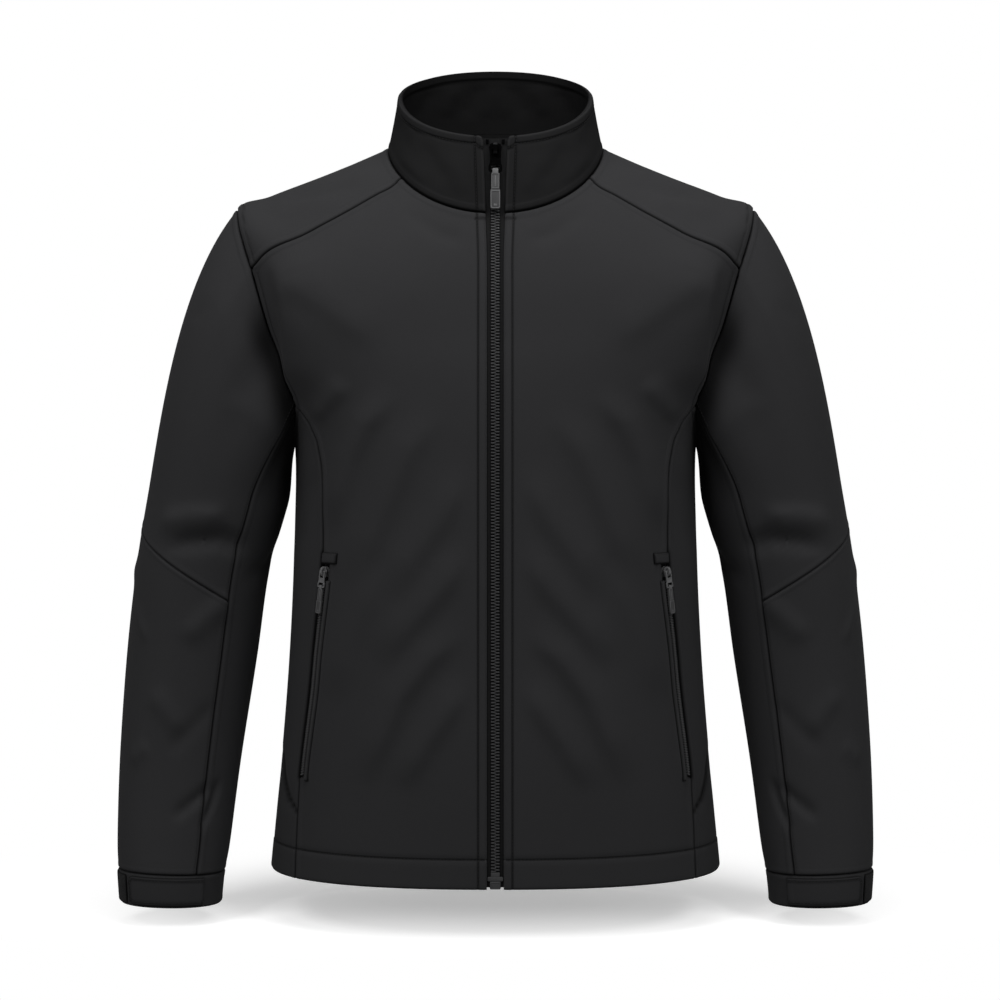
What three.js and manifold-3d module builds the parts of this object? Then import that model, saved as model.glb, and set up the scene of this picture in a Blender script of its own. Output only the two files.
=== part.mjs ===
// Softshell jacket, zipped up, in its worn form with nobody in it. Millimetres.
// +Z is up, the front faces -Y and the viewer's right is +X.
// The origin is the middle of the neck, level with the side of the neck seam.
import * as THREE from "three";
import Module from "manifold-3d";

const wasm = await Module();
wasm.setup();
const { Manifold, CrossSection } = wasm;

const WALL = 2.0;
const LAYER_GAP = 0.3;
const SEAM_TRIM = 0.16;
const DEGREE = Math.PI / 180;

const NECK = 10;
const COLLAR_TOP = 2;

// The torso: one ring per row, from the hem up to the neck seam. z at the centre front, at the side
// and at the centre back; half width; depths to the front and back; how square the ring is; and how
// late z leaves its side value on the way round to the front or back.
const BODY_COLUMNS = "zFront zSide zBack half front back square crown";
const BODY_ROWS = [
  [-658, -658, -660, 206.5, 142, 136, 2.35, 2.0],
  [-560, -560, -560, 197.0, 143, 130, 2.35, 2.0],
  [-460, -460, -460, 189.0, 140, 121, 2.4, 2.0],
  [-360, -360, -360, 184.5, 137, 124, 2.45, 2.0],
  [-268, -262, -266, 184.5, 133, 131, 2.5, 2.0],
  [-210, -195, -200, 205.0, 127, 130, 2.6, 1.9],
  [-172, -120, -132, 230.0, 120, 120, 2.6, 1.8],
  [-138, -58.5, -80, 237.0, 113, 104, 2.5, 1.7],
  [-110, -43.6, -40, 204.5, 105, 86, 2.4, 1.6],
  [-86, -23.5, -8, 152.0, 96, 66, 2.25, 1.45],
  [-64, -1.5, 16, 98.0, 86, 46, 2.1, 1.25],
];

// The stand collar, from the neck seam to the top edge, in the same columns.
const COLLAR_ROWS = [
  [-64, -1.5, 16, 98.0, 86, 46, 2.1, 1.25],
  [-30, 23, 45, 93.0, 80, 49, 2.1, 1.15],
  [5, 48, 74.5, 88.5, 72, 53, 2.1, 1.05],
];

// The sleeve's rings below the shoulder: middle in x, y and z, width, depth.
const SLEEVE_COLUMNS = "x y z width depth";
const SLEEVE_ROWS = [
  [254, 5, -313, 128, 148],
  [268.8, 8, -378, 121, 146],
  [279.5, 5, -460, 119, 134],
  [289, -10, -552, 111, 110],
  [294, -26, -628, 103, 92],
  [295.5, -32, -657, 97, 86],
  [296, -34, -687, 92, 81],
];

// Folds of the torso, mirrored to both sides: ends in x and z, width across, height (down if less
// than 0), on the front (-1) or the back (1).
const BODY_FOLD_COLUMNS = "x0 z0 x1 z1 width height face";
const BODY_FOLDS = [
  [201, -98, 181, -236, 14, 6.0, -1],
  [128, -212, 165, -250, 10, 2.2, -1],
  [86, -218, 120, -265, 12, 3.0, -1],
  [120, -265, 146, -350, 12, 3.0, -1],
  [46, -234, 128, -400, 15, 2.6, -1],
  [17, -285, 92, -408, 15, 2.4, -1],
  [16, -352, 104, -466, 15, 2.6, -1],
  [20, -424, 119, -574, 14, 3.2, -1],
  [15, -470, 86, -575, 13, 2.6, -1],
  [101, -369, 144, -500, 15, 1.8, -1],
  [196, -104, 95, -183, 18, 2.4, -1],
  [162, -285, 177, -374, 10, -2.0, -1],
  [198, -545, 178, -600, 8, -2.2, -1],
  [186, -43, 98, -21, 8, 1.6, -1],
  [212, -62, 130, -49, 8, 1.6, -1],
  [60, -150, 150, -262, 17, 3.0, 1],
  [96, -130, 176, -232, 12, -2.6, 1],
  [24, -300, 112, -440, 15, 2.4, 1],
  [30, -420, 150, -522, 16, 3.0, 1],
  [40, -520, 160, -602, 15, 2.4, 1],
  [150, -300, 172, -410, 11, -1.8, 1],
  [36, -62, 140, -100, 12, 1.6, 1],
];

// Folds of a sleeve: ends as turn round the sleeve (0 outer, 90 front, 180 inner) and z.
const SLEEVE_FOLD_COLUMNS = "turn0 z0 turn1 z1 width height";
const SLEEVE_FOLDS = [
  [37, -104, 118, -236, 10, -5.0],
  [26, -108, 90, -212, 12, 2.6],
  [74, -224, 132, -270, 10, 2.2],
  [56, -363, 134, -368, 8, -4.2],
  [44, -341, 110, -334, 11, 3.2],
  [84, -449, 124, -406, 11, 3.0],
  [60, -489, 99, -533, 10, 2.2],
  [81, -551, 124, -498, 8, -1.6],
  [42, -558, 66, -540, 9, 1.6],
  [90, -609, 131, -575, 7, -3.2],
  [120, -622, 138, -568, 6, -3.0],
  [130, -394, 198, -366, 9, -3.0],
  [-40, -396, 24, -382, 10, 1.8],
  [-72, -470, -8, -500, 11, -2.0],
  [178, -250, 252, -292, 12, 2.6],
  [215, -350, 300, -372, 13, 3.4],
  [225, -420, 320, -446, 12, -3.0],
  [200, -480, 262, -512, 12, 2.4],
  [235, -560, 330, -590, 12, 3.0],
  [186, -612, 242, -590, 9, -2.4],
];

class Table {
  constructor(columns, rows) {
    this.names = columns.split(" ");
    this.rows = rows;
    this.last = rows.length - 1;
    this.slopes = rows.map((row, i) => {
      const before = rows[Math.max(i - 1, 0)];
      const after = rows[Math.min(i + 1, this.last)];
      const span = i === 0 || i === this.last ? 1 : 2;
      return row.map((_, column) => (after[column] - before[column]) / span);
    });
  }

  at(station) {
    const index = Math.min(Math.max(Math.floor(station), 0), this.last - 1);
    const t = station - index;
    const h1 = t * t * (3 - 2 * t);
    const m0 = t * (1 - t) * (1 - t);
    const m1 = t * t * (t - 1);
    const found = {};
    this.names.forEach((name, c) => {
      found[name] = this.rows[index][c] * (1 - h1) + this.rows[index + 1][c] * h1
        + this.slopes[index][c] * m0 + this.slopes[index + 1][c] * m1;
    });
    return found;
  }
}

const BODY = new Table(BODY_COLUMNS, BODY_ROWS);
const COLLAR = new Table(BODY_COLUMNS, COLLAR_ROWS);
const SLEEVE = new Table(SLEEVE_COLUMNS, SLEEVE_ROWS);
const bodyFolds = BODY_FOLDS.map((row) => named(BODY_FOLD_COLUMNS, row));
const sleeveFolds = SLEEVE_FOLDS.map((row) => named(SLEEVE_FOLD_COLUMNS, row));

function named(columns, row) {
  return Object.fromEntries(columns.split(" ").map((name, i) => [name, row[i]]));
}

function mix(a, b, t) {
  return a + (b - a) * t;
}

function smooth(t) {
  const clamped = Math.min(Math.max(t, 0), 1);
  return clamped * clamped * (3 - 2 * clamped);
}

// Height of one soft fold at a point, in the plane where the fold's ends are given.
function foldHeight(fold, a, b, a0, b0, a1, b1) {
  const along = [a1 - a0, b1 - b0];
  const length = Math.hypot(...along);
  const t = ((a - a0) * along[0] + (b - b0) * along[1]) / (length * length);
  const across = ((a - a0) * along[1] - (b - b0) * along[0]) / length;
  const fade = smooth((t + 0.15) / 0.4) * smooth((1.15 - t) / 0.4);
  return fold.height * fade * Math.exp(-((across / fold.width) ** 2));
}

// A ring's point. phi is 0 at the side, -90 at the centre front and 90 at the centre back.
function ringPoint(table, phi, station) {
  const ring = table.at(station);
  const c = Math.cos(phi * DEGREE);
  const sine = Math.sin(phi * DEGREE);
  const depth = sine < 0 ? ring.front : ring.back;
  const n = ring.square;
  const radius = ((Math.abs(c) / ring.half) ** n + (Math.abs(sine) / depth) ** n) ** (-1 / n);
  const share = Math.min(Math.abs(radius * sine) / depth, 1) ** ring.crown;
  const middle = sine < 0 ? ring.zFront : ring.zBack;
  return new THREE.Vector3(radius * c, radius * sine, mix(ring.zSide, middle, share));
}

function skinNormal(place, u, v, du, dv, vLow, vHigh) {
  const a = place(u + du, v).sub(place(u - du, v));
  const b = place(u, Math.min(v + dv, vHigh)).sub(place(u, Math.max(v - dv, vLow)));
  return a.cross(b).normalize();
}

function plainBody(phi, s) {
  return ringPoint(BODY, phi, s);
}

function foldedBody(phi, s) {
  const point = plainBody(phi, s);
  const face = point.y < 0 ? -1 : 1;
  const x = Math.abs(point.x);
  let height = 0;
  for (const fold of bodyFolds) {
    if (fold.face === face) {
      height += foldHeight(fold, x, point.z, fold.x0, fold.z0, fold.x1, fold.z1);
    }
  }
  const ease = smooth(Math.abs(point.y) / 30) * smooth((x - 12) / 30);
  return point.addScaledVector(skinNormal(plainBody, phi, s, 0.2, 0.01, 0, NECK), height * ease);
}

function bodyNormal(phi, s) {
  return skinNormal(foldedBody, phi, s, 0.5, 0.03, 0, NECK);
}

function collarPoint(phi, s) {
  return ringPoint(COLLAR, phi, s);
}

function collarNormal(phi, s) {
  return skinNormal(collarPoint, phi, s, 0.5, 0.02, 0, COLLAR_TOP);
}

// Seam lines of the torso as phi and s, for the viewer's right; x is mirrored for the left.
const PRINCESS_FRONT = [
  [-24.9, 0], [-24.3, 0.5], [-24.2, 0.95], [-27.4, 1.94], [-30.8, 2.95], [-30.4, 3.45],
  [-29.7, 3.68], [-28.0, 3.94], [-25.0, 4.17], [-19.3, 4.42],
];
const PRINCESS_BACK = [
  [30, 0], [30, 0.5], [30, 0.95], [31, 1.94], [32, 2.95], [32, 3.45], [31, 3.68], [29, 3.9], [25, 4.13],
  [18, 4.35],
];
const ARM_FRONT = [[-19.3, 4.42], [-19.9, 4.7], [-19.3, 5.05], [-17.6, 5.4], [-17.2, 5.84], [-15.5, 6.4]];
const ARM_TOP = [[-15.5, 6.4], [-11.5, 6.79], [-5.4, 7.06], [2, 7.03], [10, 6.85], [17, 6.35]];
const ARM_BACK = [[17, 6.35], [20.5, 5.9], [22.3, 5.4], [21.5, 4.8], [18, 4.35]];
const ARM_UNDER = [[-19.3, 4.42], [-12, 4.08], [0, 3.93], [10, 4.05], [18, 4.35]];
const YOKE_FRONT = [
  [-28.8, 10], [-29.4, 9.74], [-27.9, 9.44], [-26, 8.84], [-24.2, 8.25], [-22.1, 7.52],
  [-19.9, 7.0], [-17.4, 6.6], [-15.5, 6.4],
];
const YOKE_BACK = [[34, 10], [31, 9.3], [26, 8.2], [21, 7.1], [17, 6.35]];

const COUNTS = { armFront: 6, armTop: 8, armBack: 6, armUnder: 8, yoke: 7, side: 8, back: 16, neckYoke: 8 };
const FRONT_SHARES = [0, 0.025, 0.07, 0.15, 0.31, 0.48, 0.66, 0.84, 1];
const PRINCESS_STATIONS = [
  0, 0.22, 0.45, 0.7, 0.92, 0.95, 1.2, 1.45, 1.7, 1.95, 2.2, 2.45, 2.7, 2.9, 2.93, 3.2, 3.5, 3.8, 4.05, 4.25,
];

// Evenly spaced samples along a smooth line through rows of phi and s.
function sampleLine(rows, count) {
  const curve = new THREE.CatmullRomCurve3(rows.map(([phi, s]) => new THREE.Vector3(phi, s * 12, 0)),
    false, "centripetal");
  const fine = curve.getPoints(160).map((p) => ({ phi: p.x, s: p.y / 12 }));
  const lengths = [0];
  for (let i = 1; i < fine.length; i += 1) {
    const step = plainBody(fine[i].phi, fine[i].s).distanceTo(plainBody(fine[i - 1].phi, fine[i - 1].s));
    lengths.push(lengths[i - 1] + step);
  }
  const samples = [];
  for (let k = 0; k <= count; k += 1) {
    const goal = lengths.at(-1) * k / count;
    let i = lengths.findIndex((length) => length >= goal - 1e-9);
    i = Math.max(i, 1);
    const t = (goal - lengths[i - 1]) / (lengths[i] - lengths[i - 1]);
    samples.push({ phi: mix(fine[i - 1].phi, fine[i].phi, t), s: mix(fine[i - 1].s, fine[i].s, t) });
  }
  return samples;
}

// phi where a line through rows of phi and s has this s.
function phiAt(rows, s) {
  let i = 1;
  while (i < rows.length - 1 && rows[i][1] < s) {
    i += 1;
  }
  const t = (s - rows[i - 1][1]) / (rows[i][1] - rows[i - 1][1]);
  return mix(rows[i - 1][0], rows[i][0], smooth(t) * 0.4 + t * 0.6);
}

function princess(rows) {
  const top = rows.at(-1);
  const samples = PRINCESS_STATIONS.map((s) => ({ phi: phiAt(rows, s), s }));
  samples.push({ phi: top[0], s: top[1] });
  return samples;
}

const seams = {
  princessFront: princess(PRINCESS_FRONT),
  princessBack: princess(PRINCESS_BACK),
  armFront: sampleLine(ARM_FRONT, COUNTS.armFront),
  armTop: sampleLine(ARM_TOP, COUNTS.armTop),
  armBack: sampleLine(ARM_BACK, COUNTS.armBack),
  armUnder: sampleLine(ARM_UNDER, COUNTS.armUnder),
  yokeFront: sampleLine(YOKE_FRONT, COUNTS.yoke),
  yokeBack: sampleLine(YOKE_BACK, COUNTS.yoke),
};

// The armhole as one loop: up the front from the front side seam, over the shoulder, down the back
// and under the arm.
const armhole = [
  ...seams.armFront.slice(0, -1),
  ...seams.armTop.slice(0, -1),
  ...seams.armBack.slice(0, -1),
  ...seams.armUnder.slice(1).reverse(),
];
const ROUND = armhole.length;
const UNDER_START = COUNTS.armFront + COUNTS.armTop + COUNTS.armBack;
const TOP_INDEX = COUNTS.armFront + COUNTS.armTop / 2;

// How far round the sleeve each armhole sample sits: 0 outer, 90 front, 180 inner, 270 back.
const sleeveTurns = armhole.map((_, k) => {
  const knots = [
    [0, 122], [COUNTS.armFront, 52], [TOP_INDEX, 0], [COUNTS.armFront + COUNTS.armTop, -52],
    [UNDER_START, -122], [ROUND, -238],
  ];
  let i = 1;
  while (k > knots[i][0]) {
    i += 1;
  }
  return mix(knots[i - 1][1], knots[i][1], (k - knots[i - 1][0]) / (knots[i][0] - knots[i - 1][0]));
});

const ARM_CENTRE = new THREE.Vector3(212, 8, -160);

function sleeveRing(turn, station) {
  const ring = SLEEVE.at(station);
  const low = SLEEVE.at(Math.max(station - 0.02, 0));
  const high = SLEEVE.at(Math.min(station + 0.02, SLEEVE.last));
  const axis = new THREE.Vector3(high.x - low.x, 0, high.z - low.z).normalize();
  const c = Math.cos(turn * DEGREE);
  const sine = Math.sin(turn * DEGREE);
  const n = 2.15;
  const radius = (Math.abs(c) ** n + Math.abs(sine) ** n) ** (-1 / n);
  const out = radius * c * ring.width / 2;
  return new THREE.Vector3(ring.x - axis.z * out, ring.y - radius * sine * ring.depth / 2,
    ring.z + axis.x * out);
}

// The sleeve: v from 0 at the armhole to 1 at the first ring, then one per ring.
function plainSleeve(k, v) {
  const turn = turnAt(k);
  if (v >= 1) {
    return sleeveRing(turn, v - 1);
  }
  const start = armAt(k);
  const end = sleeveRing(turn, 0);
  const reach = end.distanceTo(start);
  const leave = end.clone().sub(ARM_CENTRE).normalize().multiplyScalar(0.25);
  leave.add(new THREE.Vector3(0.24, 0, -0.87));
  leave.addScaledVector(start.clone().sub(ARM_CENTRE).normalize(), 0.22);
  leave.add(new THREE.Vector3(0.27, 0, 0)).normalize().multiplyScalar(reach * 0.9);
  const arrive = sleeveRing(turn, 0.05).sub(end).normalize().multiplyScalar(reach * 0.95);
  const h1 = v * v * (3 - 2 * v);
  return start.multiplyScalar(1 - h1).addScaledVector(end, h1)
    .addScaledVector(leave, v * (1 - v) * (1 - v)).addScaledVector(arrive, v * v * (v - 1));
}

function turnAt(k) {
  const wrapped = ((k % ROUND) + ROUND) % ROUND;
  const low = Math.floor(wrapped);
  const turns = [...sleeveTurns, sleeveTurns[0] - 360];
  return mix(turns[low], turns[low + 1], wrapped - low);
}

function armAt(k) {
  const wrapped = ((k % ROUND) + ROUND) % ROUND;
  const low = Math.floor(wrapped);
  const a = armhole[low];
  const b = armhole[(low + 1) % ROUND];
  const t = wrapped - low;
  return foldedBody(a.phi, a.s).lerp(foldedBody(b.phi, b.s), t);
}

const SLEEVE_END = SLEEVE.last + 1;

function foldedSleeve(k, v) {
  const point = plainSleeve(k, v);
  const turn = turnAt(k);
  let height = 0;
  for (const fold of sleeveFolds) {
    const middle = (fold.turn0 + fold.turn1) / 2;
    const near = middle + ((((turn - middle) % 360) + 540) % 360) - 180;
    height += foldHeight(fold, near * 1.1, point.z, fold.turn0 * 1.1, fold.z0, fold.turn1 * 1.1, fold.z1);
  }
  const ease = smooth(v / 0.8) * smooth((SLEEVE_END - 1 - v) / 0.7);
  if (height === 0 || ease === 0) {
    return point;
  }
  return point.addScaledVector(skinNormal(plainSleeve, k, v, 0.1, 0.02, 0, SLEEVE_END), -height * ease);
}

function sleeveNormal(k, v) {
  return skinNormal(foldedSleeve, k, v, 0.25, 0.03, 0, SLEEVE_END).negate();
}

// Where two skins meet at an angle both walls end on one mitred face.
function mitre(a, b) {
  const middle = a.clone().add(b).normalize();
  const reach = Math.min(WALL / Math.max(middle.dot(a), 0.2), WALL * 2.2);
  return middle.multiplyScalar(-reach);
}

const armMitres = armhole.map((sample, k) => mitre(bodyNormal(sample.phi, sample.s), sleeveNormal(k, 0)));

function neckMitre(phi) {
  return mitre(bodyNormal(phi, NECK), collarNormal(phi, 0));
}

// A vertex of a panel: its outer point and the step to its inner point.
function bodyVertex(phi, s) {
  const inward = s >= NECK ? neckMitre(phi) : bodyNormal(phi, s).multiplyScalar(-WALL);
  return { outer: foldedBody(phi, s), inward };
}

function armVertex(k) {
  const sample = armhole[((k % ROUND) + ROUND) % ROUND];
  return { outer: foldedBody(sample.phi, sample.s), inward: armMitres[((k % ROUND) + ROUND) % ROUND].clone() };
}

function collarVertex(phi, s) {
  const inward = s <= 0 ? neckMitre(phi) : collarNormal(phi, s).multiplyScalar(-WALL);
  return { outer: collarPoint(phi, s), inward };
}

function sleeveVertex(k, v) {
  if (v <= 0) {
    return armVertex(Math.round(k));
  }
  return { outer: foldedSleeve(k, v), inward: sleeveNormal(k, v).multiplyScalar(-WALL) };
}

// Moves the named edges of a grid of vertices in by the seam trim.
function trimEdges(grid, edges) {
  const rows = grid.length - 1;
  const columns = grid[0].length - 1;
  const steps = grid.map((row) => row.map(() => []));
  const along = (i, j, di, dj) => {
    const a = grid[Math.min(i + di, rows)][Math.min(j + dj, columns)].outer;
    const b = grid[Math.max(i - di, 0)][Math.max(j - dj, 0)].outer;
    return a.clone().sub(b).normalize();
  };
  const add = (i, j, di, dj, inI, inJ) => {
    const here = grid[i][j];
    const tangent = along(i, j, di, dj);
    const toward = grid[i + inI][j + inJ].outer.clone().sub(here.outer);
    toward.addScaledVector(tangent, -toward.dot(tangent));
    const wall = here.inward.clone().normalize();
    toward.addScaledVector(wall, -toward.dot(wall));
    steps[i][j].push(toward.normalize());
  };
  for (let j = 0; j <= columns; j += 1) {
    if (edges.includes("first")) add(0, j, 0, 1, 1, 0);
    if (edges.includes("last")) add(rows, j, 0, 1, -1, 0);
  }
  for (let i = 0; i <= rows; i += 1) {
    if (edges.includes("left")) add(i, 0, 1, 0, 0, 1);
    if (edges.includes("right")) add(i, columns, 1, 0, 0, -1);
  }
  return grid.map((row, i) => row.map((vertex, j) => {
    const shift = new THREE.Vector3();
    for (const step of steps[i][j]) {
      shift.addScaledVector(step, SEAM_TRIM);
    }
    return { outer: vertex.outer.clone().add(shift), inward: vertex.inward };
  }));
}

// Closes two grids of points, an outer and an inner one, into a wall.
function closeWall(outer, inner, wrap) {
  const rows = outer.length;
  const columns = outer[0].length;
  const positions = [];
  for (const grid of [outer, inner]) {
    for (const row of grid) {
      for (const p of row) {
        positions.push(p.x, p.y, p.z);
      }
    }
  }
  const at = (layer, i, j) => layer * rows * columns + i * columns + (wrap ? j % columns : j);
  const faces = [];
  const quad = (a, b, c, d) => faces.push(a, b, c, a, c, d);
  const across = wrap ? columns : columns - 1;
  for (let i = 0; i < rows - 1; i += 1) {
    for (let j = 0; j < across; j += 1) {
      quad(at(0, i, j), at(0, i, j + 1), at(0, i + 1, j + 1), at(0, i + 1, j));
      quad(at(1, i, j), at(1, i + 1, j), at(1, i + 1, j + 1), at(1, i, j + 1));
    }
  }
  for (let j = 0; j < across; j += 1) {
    quad(at(0, 0, j), at(1, 0, j), at(1, 0, j + 1), at(0, 0, j + 1));
    quad(at(0, rows - 1, j), at(0, rows - 1, j + 1), at(1, rows - 1, j + 1), at(1, rows - 1, j));
  }
  if (!wrap) {
    for (let i = 0; i < rows - 1; i += 1) {
      quad(at(0, i, 0), at(0, i + 1, 0), at(1, i + 1, 0), at(1, i, 0));
      quad(at(0, i, columns - 1), at(1, i, columns - 1), at(1, i + 1, columns - 1), at(0, i + 1, columns - 1));
    }
  }
  return facingOut(positions, faces);
}

function facingOut(positions, faces) {
  const corner = (f) => new THREE.Vector3().fromArray(positions, faces[f] * 3);
  let volume = 0;
  for (let f = 0; f < faces.length; f += 3) {
    volume += corner(f).dot(corner(f + 1).cross(corner(f + 2)));
  }
  if (volume < 0) {
    for (let f = 0; f < faces.length; f += 3) {
      [faces[f + 1], faces[f + 2]] = [faces[f + 2], faces[f + 1]];
    }
  }
  const geometry = new THREE.BufferGeometry();
  geometry.setAttribute("position", new THREE.Float32BufferAttribute(positions, 3));
  geometry.setIndex(faces);
  geometry.computeVertexNormals();
  return geometry;
}

// A wall from a grid of vertices, from `lift` above its skin down through `wall`.
function wallFrom(grid, { edges = [], lift = 0, wall = WALL, wrap = false } = {}) {
  const trimmed = trimEdges(grid, edges);
  const level = (depth) => trimmed.map((row) => row.map((vertex) => (
    vertex.outer.clone().addScaledVector(vertex.inward, depth / WALL))));
  return closeWall(level(-lift), level(wall - lift), wrap);
}

const group = new THREE.Group();
group.name = "softshell_jacket";

const finishes = {
  cloth: new THREE.MeshStandardMaterial({ color: 0x17181a, roughness: 0.92 }),
  trim: new THREE.MeshStandardMaterial({ color: 0x101113, roughness: 0.85 }),
  moulded: new THREE.MeshStandardMaterial({ color: 0x0d0d0e, roughness: 0.45 }),
  metal: new THREE.MeshStandardMaterial({ color: 0x2b2c2e, roughness: 0.35, metalness: 0.9 }),
};

function addNode(name, geometry, finish) {
  const mesh = new THREE.Mesh(geometry, finishes[finish]);
  mesh.name = name;
  group.add(mesh);
}

function mirrored(geometry) {
  const positions = Array.from(geometry.getAttribute("position").array);
  for (let i = 0; i < positions.length; i += 3) {
    positions[i] = -positions[i];
  }
  return facingOut(positions, Array.from(geometry.index.array));
}

function addPair(name, geometry, finish) {
  addNode(`${name}_r`, geometry, finish);
  addNode(`${name}_l`, mirrored(geometry), finish);
}

// Half the opening between the two front edges, up the torso and then up the collar.
function frontEdgeHalf(path) {
  if (path <= NECK) {
    return mix(7.4, 8.7, smooth((path - 8) / 2));
  }
  return mix(8.7, 11, (path - NECK) / COLLAR_TOP);
}

function frontPhi(table, x, station) {
  return -Math.atan2(table.at(station).front, x) / DEGREE;
}

// The slot of the pocket zip, by stations of the side seam. The front is cut back for it, and the
// side panel runs straight past it, so the middle of the slot is half its width before the seam.
const POCKET = { low: 0.93, high: 2.92, half: 4.3 };

function pocketHalf(s) {
  return s > POCKET.low && s < POCKET.high ? POCKET.half : 0;
}

// The front side seam, moved round the torso by a distance in millimetres.
function princessPhi(s, offset) {
  const phi = phiAt(PRINCESS_FRONT, s);
  const step = plainBody(phi - 0.5, s).distanceTo(plainBody(phi + 0.5, s));
  return phi + offset / step;
}

function frontPanel() {
  const rim = [
    ...seams.princessFront.map((sample) => ({ ...sample, phi: sample.phi
      + (pocketHalf(sample.s) ? princessPhi(sample.s, -2 * POCKET.half) - sample.phi : 0) })),
    ...seams.armFront.slice(1),
    ...seams.yokeFront.slice(0, -1).reverse(),
  ];
  const armStart = seams.princessFront.length - 1;
  const grid = rim.map((end, row) => {
    const edge = frontPhi(BODY, frontEdgeHalf(end.s), end.s);
    return FRONT_SHARES.map((share, column) => {
      const onArm = column === FRONT_SHARES.length - 1 && row >= armStart && row <= armStart + COUNTS.armFront;
      return onArm ? armVertex(row - armStart) : bodyVertex(mix(edge, end.phi, share), end.s);
    });
  });
  return wallFrom(grid, { edges: ["right", "last"] });
}

function sidePanel() {
  const last = seams.princessFront.length - 1;
  const grid = seams.princessFront.map((front, row) => {
    const back = seams.princessBack[row];
    const cells = [];
    for (let column = 0; column <= COUNTS.side; column += 1) {
      const t = column / COUNTS.side;
      if (row === last) {
        cells.push(armVertex(-column));
      } else {
        const under = seams.armUnder[column];
        const rise = row / last;
        const sag = (under.s - mix(seams.armUnder[0].s, seams.armUnder.at(-1).s, t)) * rise ** 3;
        cells.push(bodyVertex(mix(front.phi, back.phi, t), mix(front.s, back.s, t) + sag));
      }
    }
    return cells;
  });
  return wallFrom(grid, { edges: ["left", "right", "last"] });
}

function backPanel() {
  const rim = [...seams.princessBack, ...seams.armBack.slice(0, -1).reverse(),
    ...seams.yokeBack.slice(0, -1).reverse()];
  const armStart = seams.princessBack.length - 1;
  const grid = rim.map((end, row) => {
    const cells = [];
    const onArm = row >= armStart && row <= armStart + COUNTS.armBack;
    for (let column = 0; column <= COUNTS.back; column += 1) {
      const t = column / COUNTS.back;
      if (onArm && (column === 0 || column === COUNTS.back)) {
        const vertex = armVertex(UNDER_START - (row - armStart));
        if (column > 0) {
          vertex.outer.x *= -1;
          vertex.inward.x *= -1;
        }
        cells.push(vertex);
      } else {
        cells.push(bodyVertex(mix(end.phi, 180 - end.phi, t), end.s));
      }
    }
    return cells;
  });
  return wallFrom(grid, { edges: ["left", "right", "last"] });
}

function yokePanel() {
  const grid = seams.yokeFront.map((front, row) => {
    const back = seams.yokeBack[row];
    const cells = [];
    for (let column = 0; column <= COUNTS.armTop; column += 1) {
      const t = column / COUNTS.armTop;
      if (row === seams.yokeFront.length - 1) {
        cells.push(armVertex(COUNTS.armFront + column));
      } else {
        const crest = seams.armTop[column];
        const lift = crest.s - mix(seams.armTop[0].s, seams.armTop.at(-1).s, t);
        const share = (row / (seams.yokeFront.length - 1)) ** 2;
        cells.push(bodyVertex(mix(front.phi, back.phi, t), mix(front.s, back.s, t) + lift * share));
      }
    }
    return cells;
  });
  return wallFrom(grid, { edges: ["left", "right", "first", "last"] });
}

// phi of the neck seam's samples from the front edge round to the centre back.
const neckPhis = [
  ...FRONT_SHARES.map((share) => mix(frontPhi(BODY, frontEdgeHalf(NECK), NECK), YOKE_FRONT[0][0], share)),
  ...Array.from({ length: COUNTS.neckYoke - 1 }, (_, i) => (
    mix(YOKE_FRONT[0][0], YOKE_BACK[0][0], (i + 1) / COUNTS.neckYoke))),
  ...Array.from({ length: COUNTS.back / 2 + 1 }, (_, i) => (
    mix(YOKE_BACK[0][0], 180 - YOKE_BACK[0][0], i / COUNTS.back))),
];
const COLLAR_CORNER = 4;
const COLLAR_SHARES = [0, 0.3, 0.6, 0.88, 1];

function collarGrid(edgeExtra) {
  const half = neckPhis.map((phi) => COLLAR_SHARES.map((share) => {
    const s = share * COLLAR_TOP;
    const start = frontPhi(COLLAR, frontEdgeHalf(NECK + s) + edgeExtra, s);
    const low = neckPhis[0];
    const angle = phi <= 0 ? mix(start, 0, (phi - low) / (0 - low)) : phi;
    const edge = collarPoint(angle, s).x - frontEdgeHalf(NECK + s) - edgeExtra;
    const short = Math.max(COLLAR_CORNER - Math.abs(edge), 0);
    const drop = angle < 0 && short > 0 ? COLLAR_CORNER - Math.sqrt(COLLAR_CORNER ** 2 - short ** 2) : 0;
    return collarVertex(angle, s - share ** 3 * drop / 35);
  }));
  const flipped = half.slice(0, -1).reverse().map((row) => row.map((vertex) => ({
    outer: vertex.outer.clone().setX(-vertex.outer.x),
    inward: vertex.inward.clone().setX(-vertex.inward.x),
  })));
  return [...half, ...flipped];
}

addPair("front", frontPanel(), "cloth");
addPair("side", sidePanel(), "cloth");
addPair("yoke", yokePanel(), "cloth");
addNode("back", backPanel(), "cloth");
addNode("collar_outer", wallFrom(collarGrid(0), { edges: ["left"] }), "cloth");
const innerEdge = 9.5;
addNode("collar_inner", wallFrom(collarGrid(innerEdge), {
  edges: ["left"], lift: -(WALL + LAYER_GAP + 0.1), wall: 1.2,
}), "cloth");

// Rows of the sleeve: v of the elbow seam at each sample, level under the arm.
const ELBOW = { outer: 1.68, inner: 2.38 };
const CUFF_V = SLEEVE_END - 1;
const UPPER_ROWS = [0, 0.1, 0.22, 0.35, 0.48, 0.61, 0.72, 0.81, 0.9, 1];
const FOREARM_ROWS = 9;

function elbowV(k) {
  const wrapped = ((k % ROUND) + ROUND) % ROUND;
  if (wrapped >= UNDER_START || wrapped === 0) {
    return ELBOW.inner;
  }
  const reach = Math.abs(wrapped - TOP_INDEX) / TOP_INDEX;
  return mix(ELBOW.outer, ELBOW.inner, Math.min(reach, 1));
}

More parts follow.
